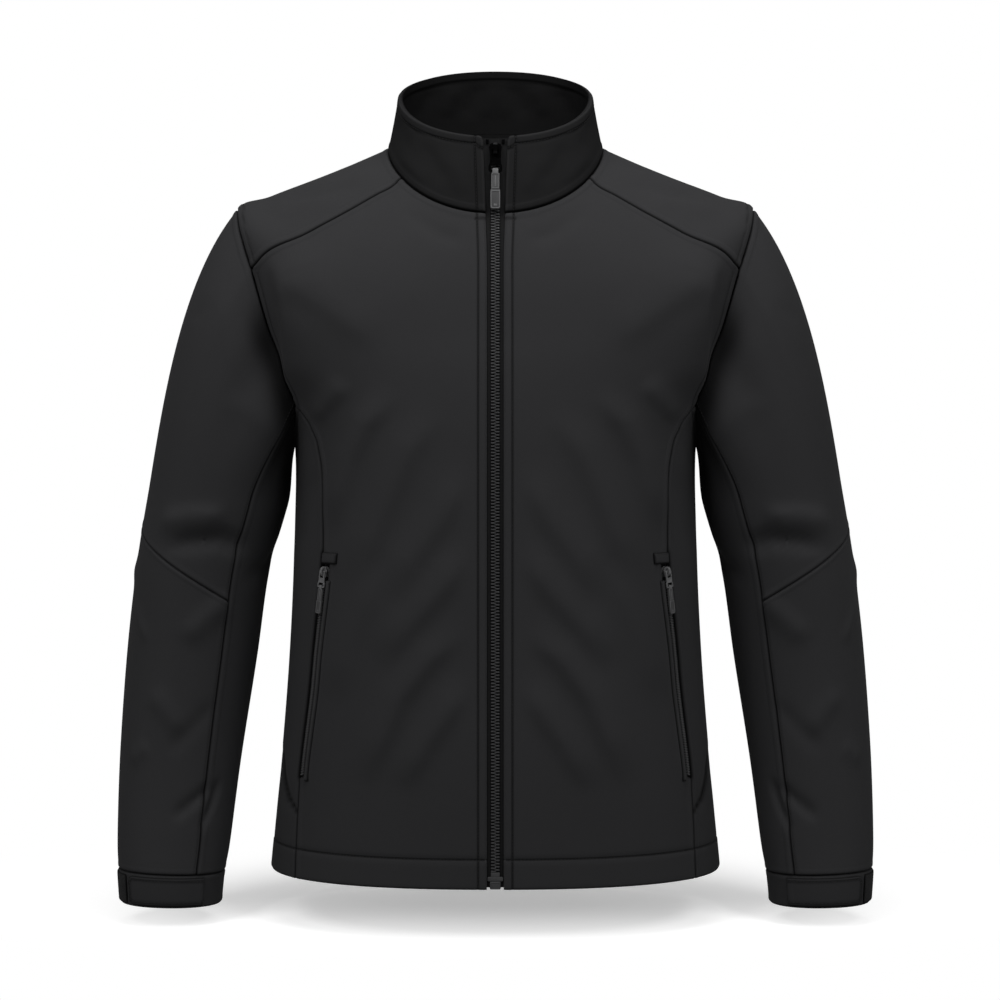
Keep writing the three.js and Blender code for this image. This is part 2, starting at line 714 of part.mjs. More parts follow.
function sleeveGrid(rowVs, first, count) {
  return rowVs.map((place) => Array.from({ length: count + 1 }, (_, i) => (
    sleeveVertex(first + i, place(first + i)))));
}

const upperVs = UPPER_ROWS.map((share) => (k) => elbowV(k) * share);
const forearmVs = Array.from({ length: FOREARM_ROWS + 1 }, (_, i) => (k) => (
  mix(elbowV(k), CUFF_V, i / FOREARM_ROWS)));
const cuffVs = [0, 0.35, 0.7, 1].map((share) => () => mix(CUFF_V, SLEEVE_END, share));
const upperCount = UNDER_START;

addPair("sleeve_upper", wallFrom(sleeveGrid(upperVs, 0, upperCount), {
  edges: ["left", "right", "first", "last"],
}), "cloth");
addPair("sleeve_forearm", wallFrom(sleeveGrid(forearmVs, 0, upperCount), {
  edges: ["left", "right", "first", "last"],
}), "cloth");
addPair("sleeve_under", wallFrom(sleeveGrid([...upperVs, ...forearmVs.slice(1)], UNDER_START, COUNTS.armUnder), {
  edges: ["left", "right", "first", "last"],
}), "cloth");
addPair("cuff", wallFrom(sleeveGrid(cuffVs, 0, ROUND - 1), { edges: ["first"], wrap: true }), "cloth");

// The cuff's tab and the fastening strip beside its end, laid on the cuff.
const TAB = { low: 0.08, high: 0.93, corner: 0.16 };

function onCuff(from, to, columns, rounding) {
  const shares = [0, rounding ? 0.25 : 0.5, 0.5, 0.75, 1].filter((value, i, all) => all.indexOf(value) === i);
  return shares.map((share) => Array.from({ length: columns + 1 }, (_, i) => {
    const k = mix(from, to, i / columns);
    const end = rounding ? Math.max(1 - (k - from) / rounding, 0) : 0;
    const pull = TAB.corner * (1 - Math.sqrt(Math.max(1 - end * end, 0)));
    const band = mix(TAB.low + pull, TAB.high - pull, share);
    return sleeveVertex(k, mix(CUFF_V, SLEEVE_END, band));
  }));
}

addPair("cuff_tab", wallFrom(onCuff(TOP_INDEX - 3.4, -0.7, 9, -0.7), { lift: LAYER_GAP + 1.8, wall: 1.8 }), "cloth");
addPair("cuff_strip", wallFrom(onCuff(TOP_INDEX + 1.6, TOP_INDEX - 3.1, 7, 0), {
  lift: LAYER_GAP + 1.0, wall: 1.0,
}), "trim");

// The line of the main zip up the centre front, as points and outward directions.
function zipLine(path, x) {
  if (path < NECK - 0.001) {
    const phi = frontPhi(BODY, Math.max(Math.abs(x), 0.01), path);
    return flipX({ outer: foldedBody(phi, path), inward: bodyNormal(phi, path).multiplyScalar(-WALL) }, x);
  }
  const s = Math.max(path - NECK, 0);
  const phi = frontPhi(COLLAR, Math.max(Math.abs(x), 0.01), s);
  const inward = s < 0.001 ? neckMitre(phi) : collarNormal(phi, s).multiplyScalar(-WALL);
  return flipX({ outer: collarPoint(phi, s), inward }, x);
}

function flipX(vertex, x) {
  if (x < 0) {
    vertex.outer.x *= -1;
    vertex.inward.x *= -1;
  }
  return vertex;
}

const zipPaths = [...Array.from({ length: 21 }, (_, i) => i / 2), 10.5, 11, 11.5, 11.93];
zipPaths[0] = 0.06;
const chainPaths = [0.17, ...zipPaths.slice(1, -2), 11.62];
const TAPE_DEPTH = WALL + LAYER_GAP;

function zipStrip(paths, xs, lift, wall) {
  return wallFrom(paths.map((path) => xs.map((x) => zipLine(path, x))), { lift, wall });
}

addPair("zip_tape", zipStrip(zipPaths, [4.0, 11, 18], -TAPE_DEPTH, 1.0), "trim");
addNode("zip_chain", zipStrip(chainPaths, [-3.6, 0, 3.6], -0.9, 2.5), "moulded");

// A frame on a skin: across, up along the zip, and out.
function frameOn(origin, up, out) {
  const z = out.clone().normalize();
  const y = up.clone().addScaledVector(z, -up.dot(z)).normalize();
  const x = y.clone().cross(z);
  return new THREE.Matrix4().makeBasis(x, y, z).setPosition(origin);
}

function box(x0, x1, y0, y1, z0, z1) {
  return Manifold.cube([x1 - x0, y1 - y0, z1 - z0]).translate([x0, y0, z0]);
}

function bar(radius, half, y, z) {
  return Manifold.cylinder(half * 2, radius, radius, 20, true).rotate([0, 90, 0]).translate([0, y, z]);
}

function plate(outline, z0, z1) {
  return CrossSection.ofPolygons([outline], "EvenOdd").extrude(z1 - z0).translate([0, 0, z0]);
}

function sidewaysPlate(outline, half) {
  return CrossSection.ofPolygons([outline], "EvenOdd").extrude(half * 2).translate([0, 0, -half])
    .rotate([90, 0, 90]);
}

function placed(solid, frame) {
  const mesh = solid.getMesh();
  const positions = Array.from(mesh.vertProperties);
  const point = new THREE.Vector3();
  for (let i = 0; i < positions.length; i += 3) {
    point.fromArray(positions, i).applyMatrix4(frame).toArray(positions, i);
  }
  return facingOut(positions, Array.from(mesh.triVerts));
}

// Sizes of the slider, its pull and the moulded puller of a zip, before scaling.
const SLIDER = { half: 5.8, tail: 4.4, low: -7, high: 6, plate: 1.4, front: -0.4, back: -3.9 };
const BRIDGE = { half: 1.7, reach: 5.4, rise: 4.4, bar: 1.2 };
const PULL = { pivot: 2.4, wire: 0.8, half: 5.0, hole: 3.2, top: 0, plateStart: -8.6, ring: -15.2, end: -21.4 };
const PULLER = { half: 3.7, lowHalf: 4.4, step: -38, end: -56, thick: 3.4 };

function sliderBody() {
  const { half, tail, low, high } = SLIDER;
  const outline = [[-tail, low], [tail, low], [tail + 0.5, low + 4], [half, 1.5], [half - 1.2, high - 1.2],
    [1.6, high], [-1.6, high], [-half + 1.2, high - 1.2], [-half, 1.5], [-tail - 0.5, low + 4]];
  const front = plate(outline, SLIDER.front, SLIDER.front + SLIDER.plate);
  const back = plate(outline, SLIDER.back - SLIDER.plate, SLIDER.back);
  const post = box(-1.5, 1.5, 3.2, 5.4, SLIDER.back - 0.2, SLIDER.front + 0.2);
  const top = SLIDER.front + SLIDER.plate;
  const { reach, rise } = BRIDGE;
  const arch = sidewaysPlate([[-reach, top - 0.2], [-reach + 1.4, top - 0.2], [-reach + 1.9, top + rise - 2.1],
    [-reach + 3, top + rise - 1.3], [reach - 3, top + rise - 1.3], [reach - 1.9, top + rise - 2.1],
    [reach - 1.4, top - 0.2], [reach, top - 0.2], [reach - 0.4, top + rise - 1.4],
    [reach - 2.4, top + rise], [-reach + 2.4, top + rise], [-reach + 0.4, top + rise - 1.4]], BRIDGE.half);
  return front.add(back).add(post).add(arch);
}

function pullBody() {
  const { pivot, wire, half, hole, plateStart, ring, end } = PULL;
  const low = pivot - wire;
  const high = pivot + wire;
  const outer = plate([[-half + 1, 0.8], [half - 1, 0.8], [half, 0], [half, ring + 1], [half + 1, ring - 1],
    [half + 1, end + 0.9], [half, end], [-half, end], [-half - 1, end + 0.9], [-half - 1, ring - 1],
    [-half, ring + 1], [-half, 0]], low, high);
  const eye = box(-hole, hole, plateStart, -0.8, low - 1, high + 1);
  const slot = box(-half + 0.6, half - 0.6, end + 1.5, ring, low - 1, high + 1);
  return outer.subtract(eye).subtract(slot);
}

function pullerBody() {
  const { half, lowHalf, step, end, thick } = PULLER;
  const middle = PULL.pivot;
  const low = middle - thick / 2;
  const body = plate([[-half + 0.8, PULL.end - 1.2], [half - 0.8, PULL.end - 1.2], [half, PULL.end - 2.4],
    [half, step + 1.2], [lowHalf, step - 1.2], [lowHalf, end + 1.6], [lowHalf - 1.4, end],
    [-lowHalf + 1.4, end], [-lowHalf, end + 1.6], [-lowHalf, step - 1.2], [-half, step + 1.2],
    [-half, PULL.end - 2.4]], low, low + thick);
  const head = box(-2.6, 2.6, PULL.end - 2, PULL.end + 3.0, low, low + thick);
  const room = box(-4, 4, PULL.end - 0.4, PULL.end + 1.9, middle - wireRoom(), middle + wireRoom());
  return body.add(head).subtract(room);
}

function wireRoom() {
  return PULL.wire + 0.35;
}

function addHardware(name, frame, scale, suffix) {
  const sized = frame.clone().scale(new THREE.Vector3(scale, scale, scale));
  const parts = [["slider", sliderBody(), "metal"], ["pull", pullBody(), "metal"],
    ["puller", pullerBody(), "moulded"]];
  for (const [kind, solid, finish] of parts) {
    const geometry = placed(solid, sized);
    if (suffix) {
      addPair(`${name}_${kind}`, geometry, finish);
    } else {
      addNode(`${name}_${kind}`, geometry, finish);
    }
  }
}

const SLIDER_PATH = 11.65;
const seat = zipLine(SLIDER_PATH, 0.01);
const below = zipLine(SLIDER_PATH - 0.3, 0.01);
const mainFrame = frameOn(seat.outer.clone().setX(0), seat.outer.clone().sub(below.outer).setX(0),
  seat.inward.clone().negate().setX(0));
addHardware("zip", mainFrame, 1, false);

const foot = zipLine(0.1, 0.01);
const footUp = zipLine(0.4, 0.01).outer.sub(foot.outer).setX(0);
const footFrame = frameOn(foot.outer.clone().setX(0), footUp, foot.inward.clone().negate().setX(0));
const pinBox = box(-3.6, 3.6, -9.4, 0.4, -3.9, -0.2).add(box(-4.8, 4.8, -9.4, 3, -1.7, -0.2))
  .add(box(-6.7, 6.7, -1.6, 1.8, -1.7, -0.4));
addNode("zip_box", placed(pinBox, footFrame), "moulded");

const head = zipLine(11.86, 0.01);
const headUp = head.outer.clone().sub(zipLine(11.6, 0.01).outer).setX(0);
const headFrame = frameOn(head.outer.clone().setX(0), headUp, head.inward.clone().negate().setX(0));
addPair("zip_stop", placed(box(6.0, 8.4, -1.6, 1.9, -2.1, -0.5), headFrame), "metal");

// The pocket zip in its slot, its welt on the front's edge and the tab above its slider.
function pocketVertex(s, offset) {
  return bodyVertex(princessPhi(s, offset - POCKET.half), s);
}

function pocketStrip(from, to, count, offsets, options) {
  const stations = Array.from({ length: count + 1 }, (_, i) => mix(from, to, i / count));
  return wallFrom(stations.map((s) => offsets.map((offset) => pocketVertex(s, offset))), options);
}

addPair("pocket_tape", pocketStrip(0.88, 2.97, 12, [-9, 0, 9], { lift: -TAPE_DEPTH - 0.9, wall: 0.9 }), "trim");
addPair("pocket_chain", pocketStrip(0.97, 2.72, 12, [-2.2, 0, 2.2], { lift: 0.8, wall: 2.4 }), "moulded");
addPair("pocket_welt", pocketStrip(0.9, 2.7, 12, [-9.2, -6, -3.4], { lift: LAYER_GAP + 1.3, wall: 1.3 }), "cloth");
const pocketSeat = pocketVertex(2.78, 0);
const pocketUp = pocketSeat.outer.clone().sub(pocketVertex(2.5, 0).outer);
const POCKET_RAISE = 1.2;
const pocketOut = pocketSeat.inward.clone().normalize().negate();
const pocketFrame = frameOn(pocketSeat.outer.clone().addScaledVector(pocketOut, POCKET_RAISE), pocketUp,
  pocketOut);
addHardware("pocket", pocketFrame, 0.68, true);
addPair("pocket_tab", pocketStrip(2.85, 2.95, 2, [-14.2, -7, 0, 4.0], { lift: LAYER_GAP + 2.2, wall: 2.2 }), "cloth");

export default group;
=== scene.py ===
"""Softshell jacket, zipped to the top of its stand collar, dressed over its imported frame.

The garment stands in its worn form with nobody in it. Its skins are worked out in millimetres from
short tables, the same ones that its solids use, and every mesh is made in metres.
"""

from __future__ import annotations

import logging
import math
from dataclasses import dataclass, field
from enum import Enum
from typing import Callable, Sequence

import bpy
import numpy as np
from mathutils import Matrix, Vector

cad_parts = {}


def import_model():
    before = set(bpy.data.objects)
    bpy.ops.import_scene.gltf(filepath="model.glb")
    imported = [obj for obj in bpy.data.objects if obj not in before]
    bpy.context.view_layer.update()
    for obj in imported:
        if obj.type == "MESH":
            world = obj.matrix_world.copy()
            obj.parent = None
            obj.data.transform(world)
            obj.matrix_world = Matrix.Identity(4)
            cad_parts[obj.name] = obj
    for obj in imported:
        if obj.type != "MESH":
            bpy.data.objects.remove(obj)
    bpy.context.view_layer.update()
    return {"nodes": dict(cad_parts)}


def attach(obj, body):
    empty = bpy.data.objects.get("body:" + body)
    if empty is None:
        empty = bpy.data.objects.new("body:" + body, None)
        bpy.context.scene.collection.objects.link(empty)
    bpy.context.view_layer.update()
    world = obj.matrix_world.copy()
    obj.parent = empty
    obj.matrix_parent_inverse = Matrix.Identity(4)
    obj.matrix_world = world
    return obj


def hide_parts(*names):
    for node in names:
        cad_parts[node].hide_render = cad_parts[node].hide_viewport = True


LOG = logging.getLogger("jacket")
MM = 0.001
BODY = "jacket"
NECK = 10.0
COLLAR_TOP = 2.0
SLEEVE_END = 7.0
CUFF_START = 6.0
WALL = 1.8
LAYER_GAP = 0.3
LEAST_FILL = 0.301

Grid = np.ndarray
Place = Callable[[Grid, Grid], Grid]
MIRROR = np.array([-1.0, 1.0, 1.0])
MIDDLE = np.array([0.0, 1.0, 1.0])
NEAR_MIDDLE = 0.01

RING_COLUMNS = "z_front z_side z_back half front back square crown"
TORSO_ROWS = (
    (-658, -658, -660, 206.5, 142, 136, 2.35, 2.0),
    (-560, -560, -560, 197.0, 143, 130, 2.35, 2.0),
    (-460, -460, -460, 189.0, 140, 121, 2.4, 2.0),
    (-360, -360, -360, 184.5, 137, 124, 2.45, 2.0),
    (-268, -262, -266, 184.5, 133, 131, 2.5, 2.0),
    (-210, -195, -200, 205.0, 127, 130, 2.6, 1.9),
    (-172, -120, -132, 230.0, 120, 120, 2.6, 1.8),
    (-138, -58.5, -80, 237.0, 113, 104, 2.5, 1.7),
    (-110, -43.6, -40, 204.5, 105, 86, 2.4, 1.6),
    (-86, -23.5, -8, 152.0, 96, 66, 2.25, 1.45),
    (-64, -1.5, 16, 98.0, 86, 46, 2.1, 1.25),
)
COLLAR_ROWS = (
    (-64, -1.5, 16, 98.0, 86, 46, 2.1, 1.25),
    (-30, 23, 45, 93.0, 80, 49, 2.1, 1.15),
    (5, 48, 74.5, 88.5, 72, 53, 2.1, 1.05),
)
SLEEVE_COLUMNS = "x y z width depth"
SLEEVE_ROWS = (
    (254, 5, -313, 128, 148),
    (268.8, 8, -378, 121, 146),
    (279.5, 5, -460, 119, 134),
    (289, -10, -552, 111, 110),
    (294, -26, -628, 103, 92),
    (295.5, -32, -657, 97, 86),
    (296, -34, -687, 92, 81),
)


class Side(Enum):
    """The half of the garment, by the sign of x."""

    RIGHT = 1
    LEFT = -1

    @property
    def mark(self) -> str:
        """The letter that node names end in."""
        return "r" if self is Side.RIGHT else "l"


class Edge(Enum):
    """One edge of a panel's grid."""

    LEFT = "left"
    RIGHT = "right"
    FIRST = "first"
    LAST = "last"


class Face(Enum):
    """The face of the torso that a fold is on."""

    FRONT = -1
    BACK = 1


@dataclass(frozen=True)
class Fold:
    """One soft crease or ridge along a bent line, in millimetres.

    The line's points are x and z on the torso and the collar, and degrees round the arm and z on a
    sleeve. `left` and `right` are its widths on the two sides of the line, and a fold with a
    height below 0 is a trough.
    """

    line: tuple[tuple[float, float], ...]
    left: float
    right: float
    height: float


TORSO_FOLDS: dict[Face, tuple[Fold, ...]] = {
    Face.FRONT: (
        Fold(((201, -96), (191, -120), (186, -147), (183, -170), (181, -201), (181, -238)), 26, 7, 6.8),
        Fold(((128, -212), (146, -230), (165, -250)), 7, 12, 2.6),
        Fold(((86, -218), (114, -252), (128, -282), (138, -318), (146, -350)), 9, 14, 4.0),
        Fold(((46, -234), (75, -273), (94, -317), (110, -356), (128, -400)), 11, 17, 3.5),
        Fold(((17, -285), (48, -335), (73, -369), (92, -408)), 11, 17, 3.2),
        Fold(((16, -352), (44, -391), (79, -431), (104, -466)), 10, 17, 3.5),
        Fold(((20, -424), (57, -456), (84, -492), (103, -537), (119, -574)), 9, 16, 4.1),
        Fold(((15, -470), (35, -495), (61, -531), (86, -575)), 9, 15, 3.4),
        Fold(((101, -369), (128, -441), (144, -500)), 12, 17, 2.4),
        Fold(((196, -104), (168, -132), (128, -161), (95, -183)), 22, 13, 2.9),
        Fold(((87, -58), (49, -83), (18, -91)), 8, 8, -1.3),
        Fold(((162, -285), (168, -328), (177, -374)), 8, 10, -2.0),
        Fold(((198, -545), (192, -569), (187, -583), (178, -600)), 3, 9, -2.2),
        Fold(((186, -43), (136, -29), (98, -21)), 6, 9, 1.6),
        Fold(((192, -52), (150, -42), (112, -35)), 5, 6, -1.3),
        Fold(((212, -62), (167, -55), (130, -49)), 6, 8, 1.6),
    ),
    Face.BACK: (
        Fold(((60, -150), (112, -208), (150, -262)), 14, 20, 3.0),
        Fold(((96, -130), (142, -176), (176, -232)), 12, 12, -2.6),
        Fold(((24, -300), (70, -372), (112, -440)), 12, 18, 2.4),
        Fold(((30, -420), (86, -470), (150, -522)), 12, 20, 3.0),
        Fold(((40, -520), (96, -556), (160, -602)), 12, 18, 2.4),
        Fold(((150, -300), (164, -350), (172, -410)), 10, 12, -1.8),
        Fold(((36, -62), (84, -86), (140, -100)), 10, 14, 1.6),
    ),
}
COLLAR_FOLDS: dict[Face, tuple[Fold, ...]] = {
    Face.FRONT: (
        Fold(((86, -6), (74, -24), (62, -42)), 7, 9, 1.3),
        Fold(((66, 2), (54, -20), (42, -40)), 6, 8, -1.1),
        Fold(((40, -8), (34, -26), (26, -50)), 6, 8, 1.0),
        Fold(((88, 26), (84, 8), (80, -8)), 6, 6, -0.9),
    ),
    Face.BACK: (
        Fold(((10, 66), (22, 48), (30, 28)), 7, 9, 1.6),
        Fold(((36, 62), (44, 46), (46, 30)), 6, 8, -1.6),
        Fold(((58, 60), (66, 44), (72, 26)), 7, 7, 1.4),
        Fold(((4, 60), (4, 44), (12, 30)), 6, 6, -1.0),
    ),
}
TURN_MM = 1.1
SLEEVE_FOLDS = (
    Fold(((37, -104), (63, -141), (84, -172), (102, -203), (118, -236)), 9, 11, -7.6),
    Fold(((26, -108), (58, -158), (90, -212)), 12, 12, 2.6),
    Fold(((28, -160), (42, -142)), 6, 7, -1.4),
    Fold(((74, -224), (101, -244), (132, -270)), 9, 12, 2.2),
    Fold(((56, -363), (81, -358), (107, -356), (134, -368)), 7, 9, -5.4),
    Fold(((44, -341), (78, -334), (110, -334)), 12, 9, 4.0),
    Fold(((26, -408), (40, -430), (55, -452)), 4, 5, 1.5),
    Fold(((84, -449), (104, -426), (124, -406)), 12, 9, 3.0),
    Fold(((60, -489), (80, -512), (99, -533)), 9, 10, 2.2),
    Fold(((81, -551), (110, -518), (124, -498)), 8, 8, -1.6),
    Fold(((42, -558), (66, -540)), 8, 9, 1.6),
    Fold(((90, -609), (117, -588), (131, -575)), 5, 7, -3.2),
    Fold(((120, -622), (132, -591), (138, -568)), 4, 5, -3.0),
    Fold(((130, -394), (165, -380), (198, -366)), 9, 9, -3.0),
    Fold(((-40, -396), (-6, -390), (24, -382)), 10, 10, 1.8),
    Fold(((-72, -470), (-40, -486), (-8, -500)), 10, 12, -2.0),
    Fold(((178, -250), (214, -272), (252, -292)), 11, 13, 2.6),
    Fold(((215, -350), (258, -364), (300, -372)), 13, 13, 3.4),
    Fold(((225, -420), (272, -436), (320, -446)), 12, 12, -3.0),
    Fold(((200, -480), (232, -500), (262, -512)), 11, 13, 2.4),
    Fold(((235, -560), (282, -578), (330, -590)), 12, 12, 3.0),
    Fold(((186, -612), (214, -602), (242, -590)), 8, 9, -2.4),
)
# Painted shade: bands where the sleeves' and the side panels' colour is painted darker, for the shadow
# between sleeve and body; each height is how much darker, from 0 to 1.
SLEEVE_SHADOWS = (
    Fold(((58, -128), (84, -176), (103, -209), (118, -238), (128, -262), (132, -330)), 9, 13, 0.85),
    Fold(((128, -200), (150, -250), (160, -330)), 16, 16, 0.6),
)
SIDE_SHADOWS = (
    Fold(((190, -180), (186, -230), (184, -290), (186, -350)), 10, 10, 0.6),
)


def smooth(t: Grid) -> Grid:
    """Eases 0 to 1, and holds outside that."""
    t = np.clip(t, 0.0, 1.0)
    return t * t * (3.0 - 2.0 * t)


def mix(a: Grid, b: Grid, t: Grid) -> Grid:
    """Blends from a at 0 to b at 1."""
    return a + (b - a) * t


def unit(v: Grid) -> Grid:
    """Vectors scaled to length 1."""
    return v / np.maximum(np.linalg.norm(v, axis=-1, keepdims=True), 1e-9)


def hermite(ends: tuple[Grid, Grid], slopes: tuple[Grid, Grid], t: Grid) -> Grid:
    """A smooth curve between two ends.

    Args:
        ends: the values at 0 and at 1.
        slopes: the slopes there.
        t: places from 0 to 1.

    Returns:
        The value at each place.
    """
    return (
        ends[0] * (2 * t**3 - 3 * t**2 + 1)
        + ends[1] * (3 * t**2 - 2 * t**3)
        + slopes[0] * (t**3 - 2 * t**2 + t)
        + slopes[1] * (t**3 - t**2)
    )


class SmoothTable:
    """Rows of named columns, read at any station between them along a smooth line."""

    def __init__(self, columns: str, rows: Sequence[Sequence[float]]) -> None:
        """Args:
        columns: the columns' names, parted by spaces.
        rows: one tuple of numbers a row.
        """
        self.names = columns.split()
        self.values = np.array(rows, float)
        self.slopes = np.gradient(self.values, axis=0)
        self.last = len(rows) - 1

    def at(self, station: Grid) -> dict[str, Grid]:
        """The columns at each station.

        Args:
            station: places between 0 and the last row's number.

        Returns:
            One array for each column's name.
        """
        station = np.asarray(station, float)
        index = np.clip(np.floor(station).astype(int), 0, self.last - 1)
        t = (station - index)[..., None]
        rows = (self.values[index], self.values[index + 1])
        value = hermite(rows, (self.slopes[index], self.slopes[index + 1]), t)
        return {name: value[..., i] for i, name in enumerate(self.names)}


def ring_point(table: SmoothTable, phi: Grid, station: Grid) -> Grid:
    """Points on the rings of the torso or the collar.

    Args:
        table: the rings.
        phi: degrees round: 0 the side, -90 the centre front, 90 the centre back, 180 the far side.
        station: the row, as a place between rows.

    Returns:
        Points in millimetres.
    """
    phi, station = np.broadcast_arrays(np.asarray(phi, float), np.asarray(station, float))
    ring = table.at(station)
    across = np.cos(np.radians(phi))
    ahead = np.sin(np.radians(phi))
    depth = np.where(ahead < 0, ring["front"], ring["back"])
    power = ring["square"]
    radius = ((np.abs(across) / ring["half"]) ** power + (np.abs(ahead) / depth) ** power) ** (-1 / power)
    share = np.clip(np.abs(radius * ahead) / depth, 0, 1) ** ring["crown"]
    middle = np.where(ahead < 0, ring["z_front"], ring["z_back"])
    return np.stack([radius * across, radius * ahead, mix(ring["z_side"], middle, share)], -1)


def normals(place: Place, u: Grid, v: Grid, du: float, dv: float, low: float, high: float) -> Grid:
    """Outward directions of a skin, from small steps along it.

    Args:
        place: the skin.
        u: first coordinates.
        v: second coordinates.
        du: half the step in u.
        dv: the step in v.
        low: lowest v on the skin.
        high: highest v on the skin.

    Returns:
        Unit vectors, with u running anticlockwise seen from above and v upwards.
    """
    a = place(u + du, v) - place(u - du, v)
    b = place(u, np.minimum(v + dv, high)) - place(u, np.maximum(v - dv, low))
    return unit(np.cross(a, b))


def fold_heights(folds: Sequence[Fold], a: Grid, b: Grid, scale: float = 1.0, period: float = 0.0) -> Grid:
    """Sums the folds' heights over a plane.

    Args:
        folds: the folds.
        a: first coordinates, in the folds' own unit.
        b: second coordinates in millimetres.
        scale: millimetres for each unit of a.
        period: how far round a comes back to the same place, or 0.

    Returns:
        Heights in millimetres.
    """
    total = np.zeros(np.broadcast(a, b).shape)
    for fold in folds:
        line = np.array(fold.line, float)
        off = a
        if period:
            middle = float(line[:, 0].mean())
            off = middle + np.mod(a - middle + period / 2, period) - period / 2
        near, side, place = np.full(total.shape, np.inf), np.zeros(total.shape), np.zeros(total.shape)
        run = 0.0
        for (a0, b0), (a1, b1) in zip(line[:-1], line[1:]):
            way_a, way_b = (a1 - a0) * scale, b1 - b0
            length = math.hypot(way_a, way_b)
            from_a, from_b = (off - a0) * scale, b - b0
            t = np.clip((from_a * way_a + from_b * way_b) / length**2, 0, 1)
            reach = np.hypot(from_a - t * way_a, from_b - t * way_b)
            closer = reach < near
            near = np.where(closer, reach, near)
            side = np.where(closer, from_a * way_b - from_b * way_a, side)
            place = np.where(closer, run + t * length, place)
            run += length
        share = place / run
        fade = smooth(share / 0.3) * smooth((1 - share) / 0.3)
        width = np.where(side > 0, fold.left, fold.right)
        total += fold.height * fade * np.exp(-((near / width) ** 2))
    return total


def faced_heights(folds: dict[Face, tuple[Fold, ...]], point: Grid) -> Grid:
    """The heights of the folds of the front and of the back, each on its own face."""
    x = np.abs(point[..., 0])
    front, back = (fold_heights(folds[face], x, point[..., 2]) for face in (Face.FRONT, Face.BACK))
    return np.where(point[..., 1] < 0, front, back)


class Torso:
    """The skin of the fronts, sides, yokes and back, by phi and station."""

    table = SmoothTable(RING_COLUMNS, TORSO_ROWS)

    @classmethod
    def plain(cls, phi: Grid, s: Grid) -> Grid:
        """The skin without folds."""
        return ring_point(cls.table, phi, s)

    @classmethod
    def skin(cls, phi: Grid, s: Grid) -> Grid:
        """The folded skin.

        Args:
            phi: degrees round.
            s: station, 0 at the hem and 10 at the neck seam.

        Returns:
            Points in millimetres.
        """
        point = cls.plain(phi, s)
        height = faced_heights(TORSO_FOLDS, point)
        ease = smooth(np.abs(point[..., 1]) / 30) * smooth((np.abs(point[..., 0]) - 12) / 30)
        away = normals(cls.plain, phi, s, 0.2, 0.01, 0.0, NECK)
        return point + away * (height * ease)[..., None]

    @classmethod
    def away(cls, phi: Grid, s: Grid) -> Grid:
        """Outward directions of the folded skin."""
        return normals(cls.skin, phi, s, 0.4, 0.02, 0.0, NECK)


class StandCollar:
    """The collar's skin, by phi and station, from 0 at the neck seam to 2 at the top edge."""

    table = SmoothTable(RING_COLUMNS, COLLAR_ROWS)

    @classmethod
    def skin(cls, phi: Grid, s: Grid) -> Grid:
        """Points in millimetres."""
        point = ring_point(cls.table, phi, s)
        height = faced_heights(COLLAR_FOLDS, point) * smooth((s - 0.1) / 0.5) * smooth((1.9 - s) / 0.5)
        flat = unit(point * np.array([1.0, 1.0, 0.0]))
        return point + flat * (height * smooth(np.abs(point[..., 1]) / 20))[..., None]

    @classmethod
    def away(cls, phi: Grid, s: Grid) -> Grid:
        """Outward directions."""
        return normals(cls.skin, phi, s, 0.4, 0.02, -0.2, COLLAR_TOP)


# Seam lines on the torso as rows of phi and station, for the viewer's right half.
PRINCESS_FRONT = (
    (-24.9, 0), (-24.3, 0.5), (-24.2, 0.95), (-27.4, 1.94), (-30.8, 2.95), (-30.4, 3.45),
    (-29.7, 3.68), (-28.0, 3.94), (-25.0, 4.17), (-19.3, 4.42),
)
PRINCESS_BACK = (
    (30, 0), (30, 0.5), (30, 0.95), (31, 1.94), (32, 2.95), (32, 3.45), (31, 3.68), (29, 3.9),
    (25, 4.13), (18, 4.35),
)
ARM_FRONT = ((-19.3, 4.42), (-19.9, 4.7), (-19.3, 5.05), (-17.6, 5.4), (-17.2, 5.84), (-15.5, 6.4))
ARM_TOP = ((-15.5, 6.4), (-11.5, 6.79), (-5.4, 7.06), (2, 7.03), (10, 6.85), (17, 6.35))
ARM_BACK = ((17, 6.35), (20.5, 5.9), (22.3, 5.4), (21.5, 4.8), (18, 4.35))
ARM_UNDER = ((-19.3, 4.42), (-12, 4.08), (0, 3.93), (10, 4.05), (18, 4.35))
YOKE_FRONT = (
    (-28.8, 10), (-29.4, 9.74), (-27.9, 9.44), (-26, 8.84), (-24.2, 8.25), (-22.1, 7.52),
    (-19.9, 7.0), (-17.4, 6.6), (-15.5, 6.4),
)
YOKE_BACK = ((34, 10), (31, 9.3), (26, 8.2), (21, 7.1), (17, 6.35))


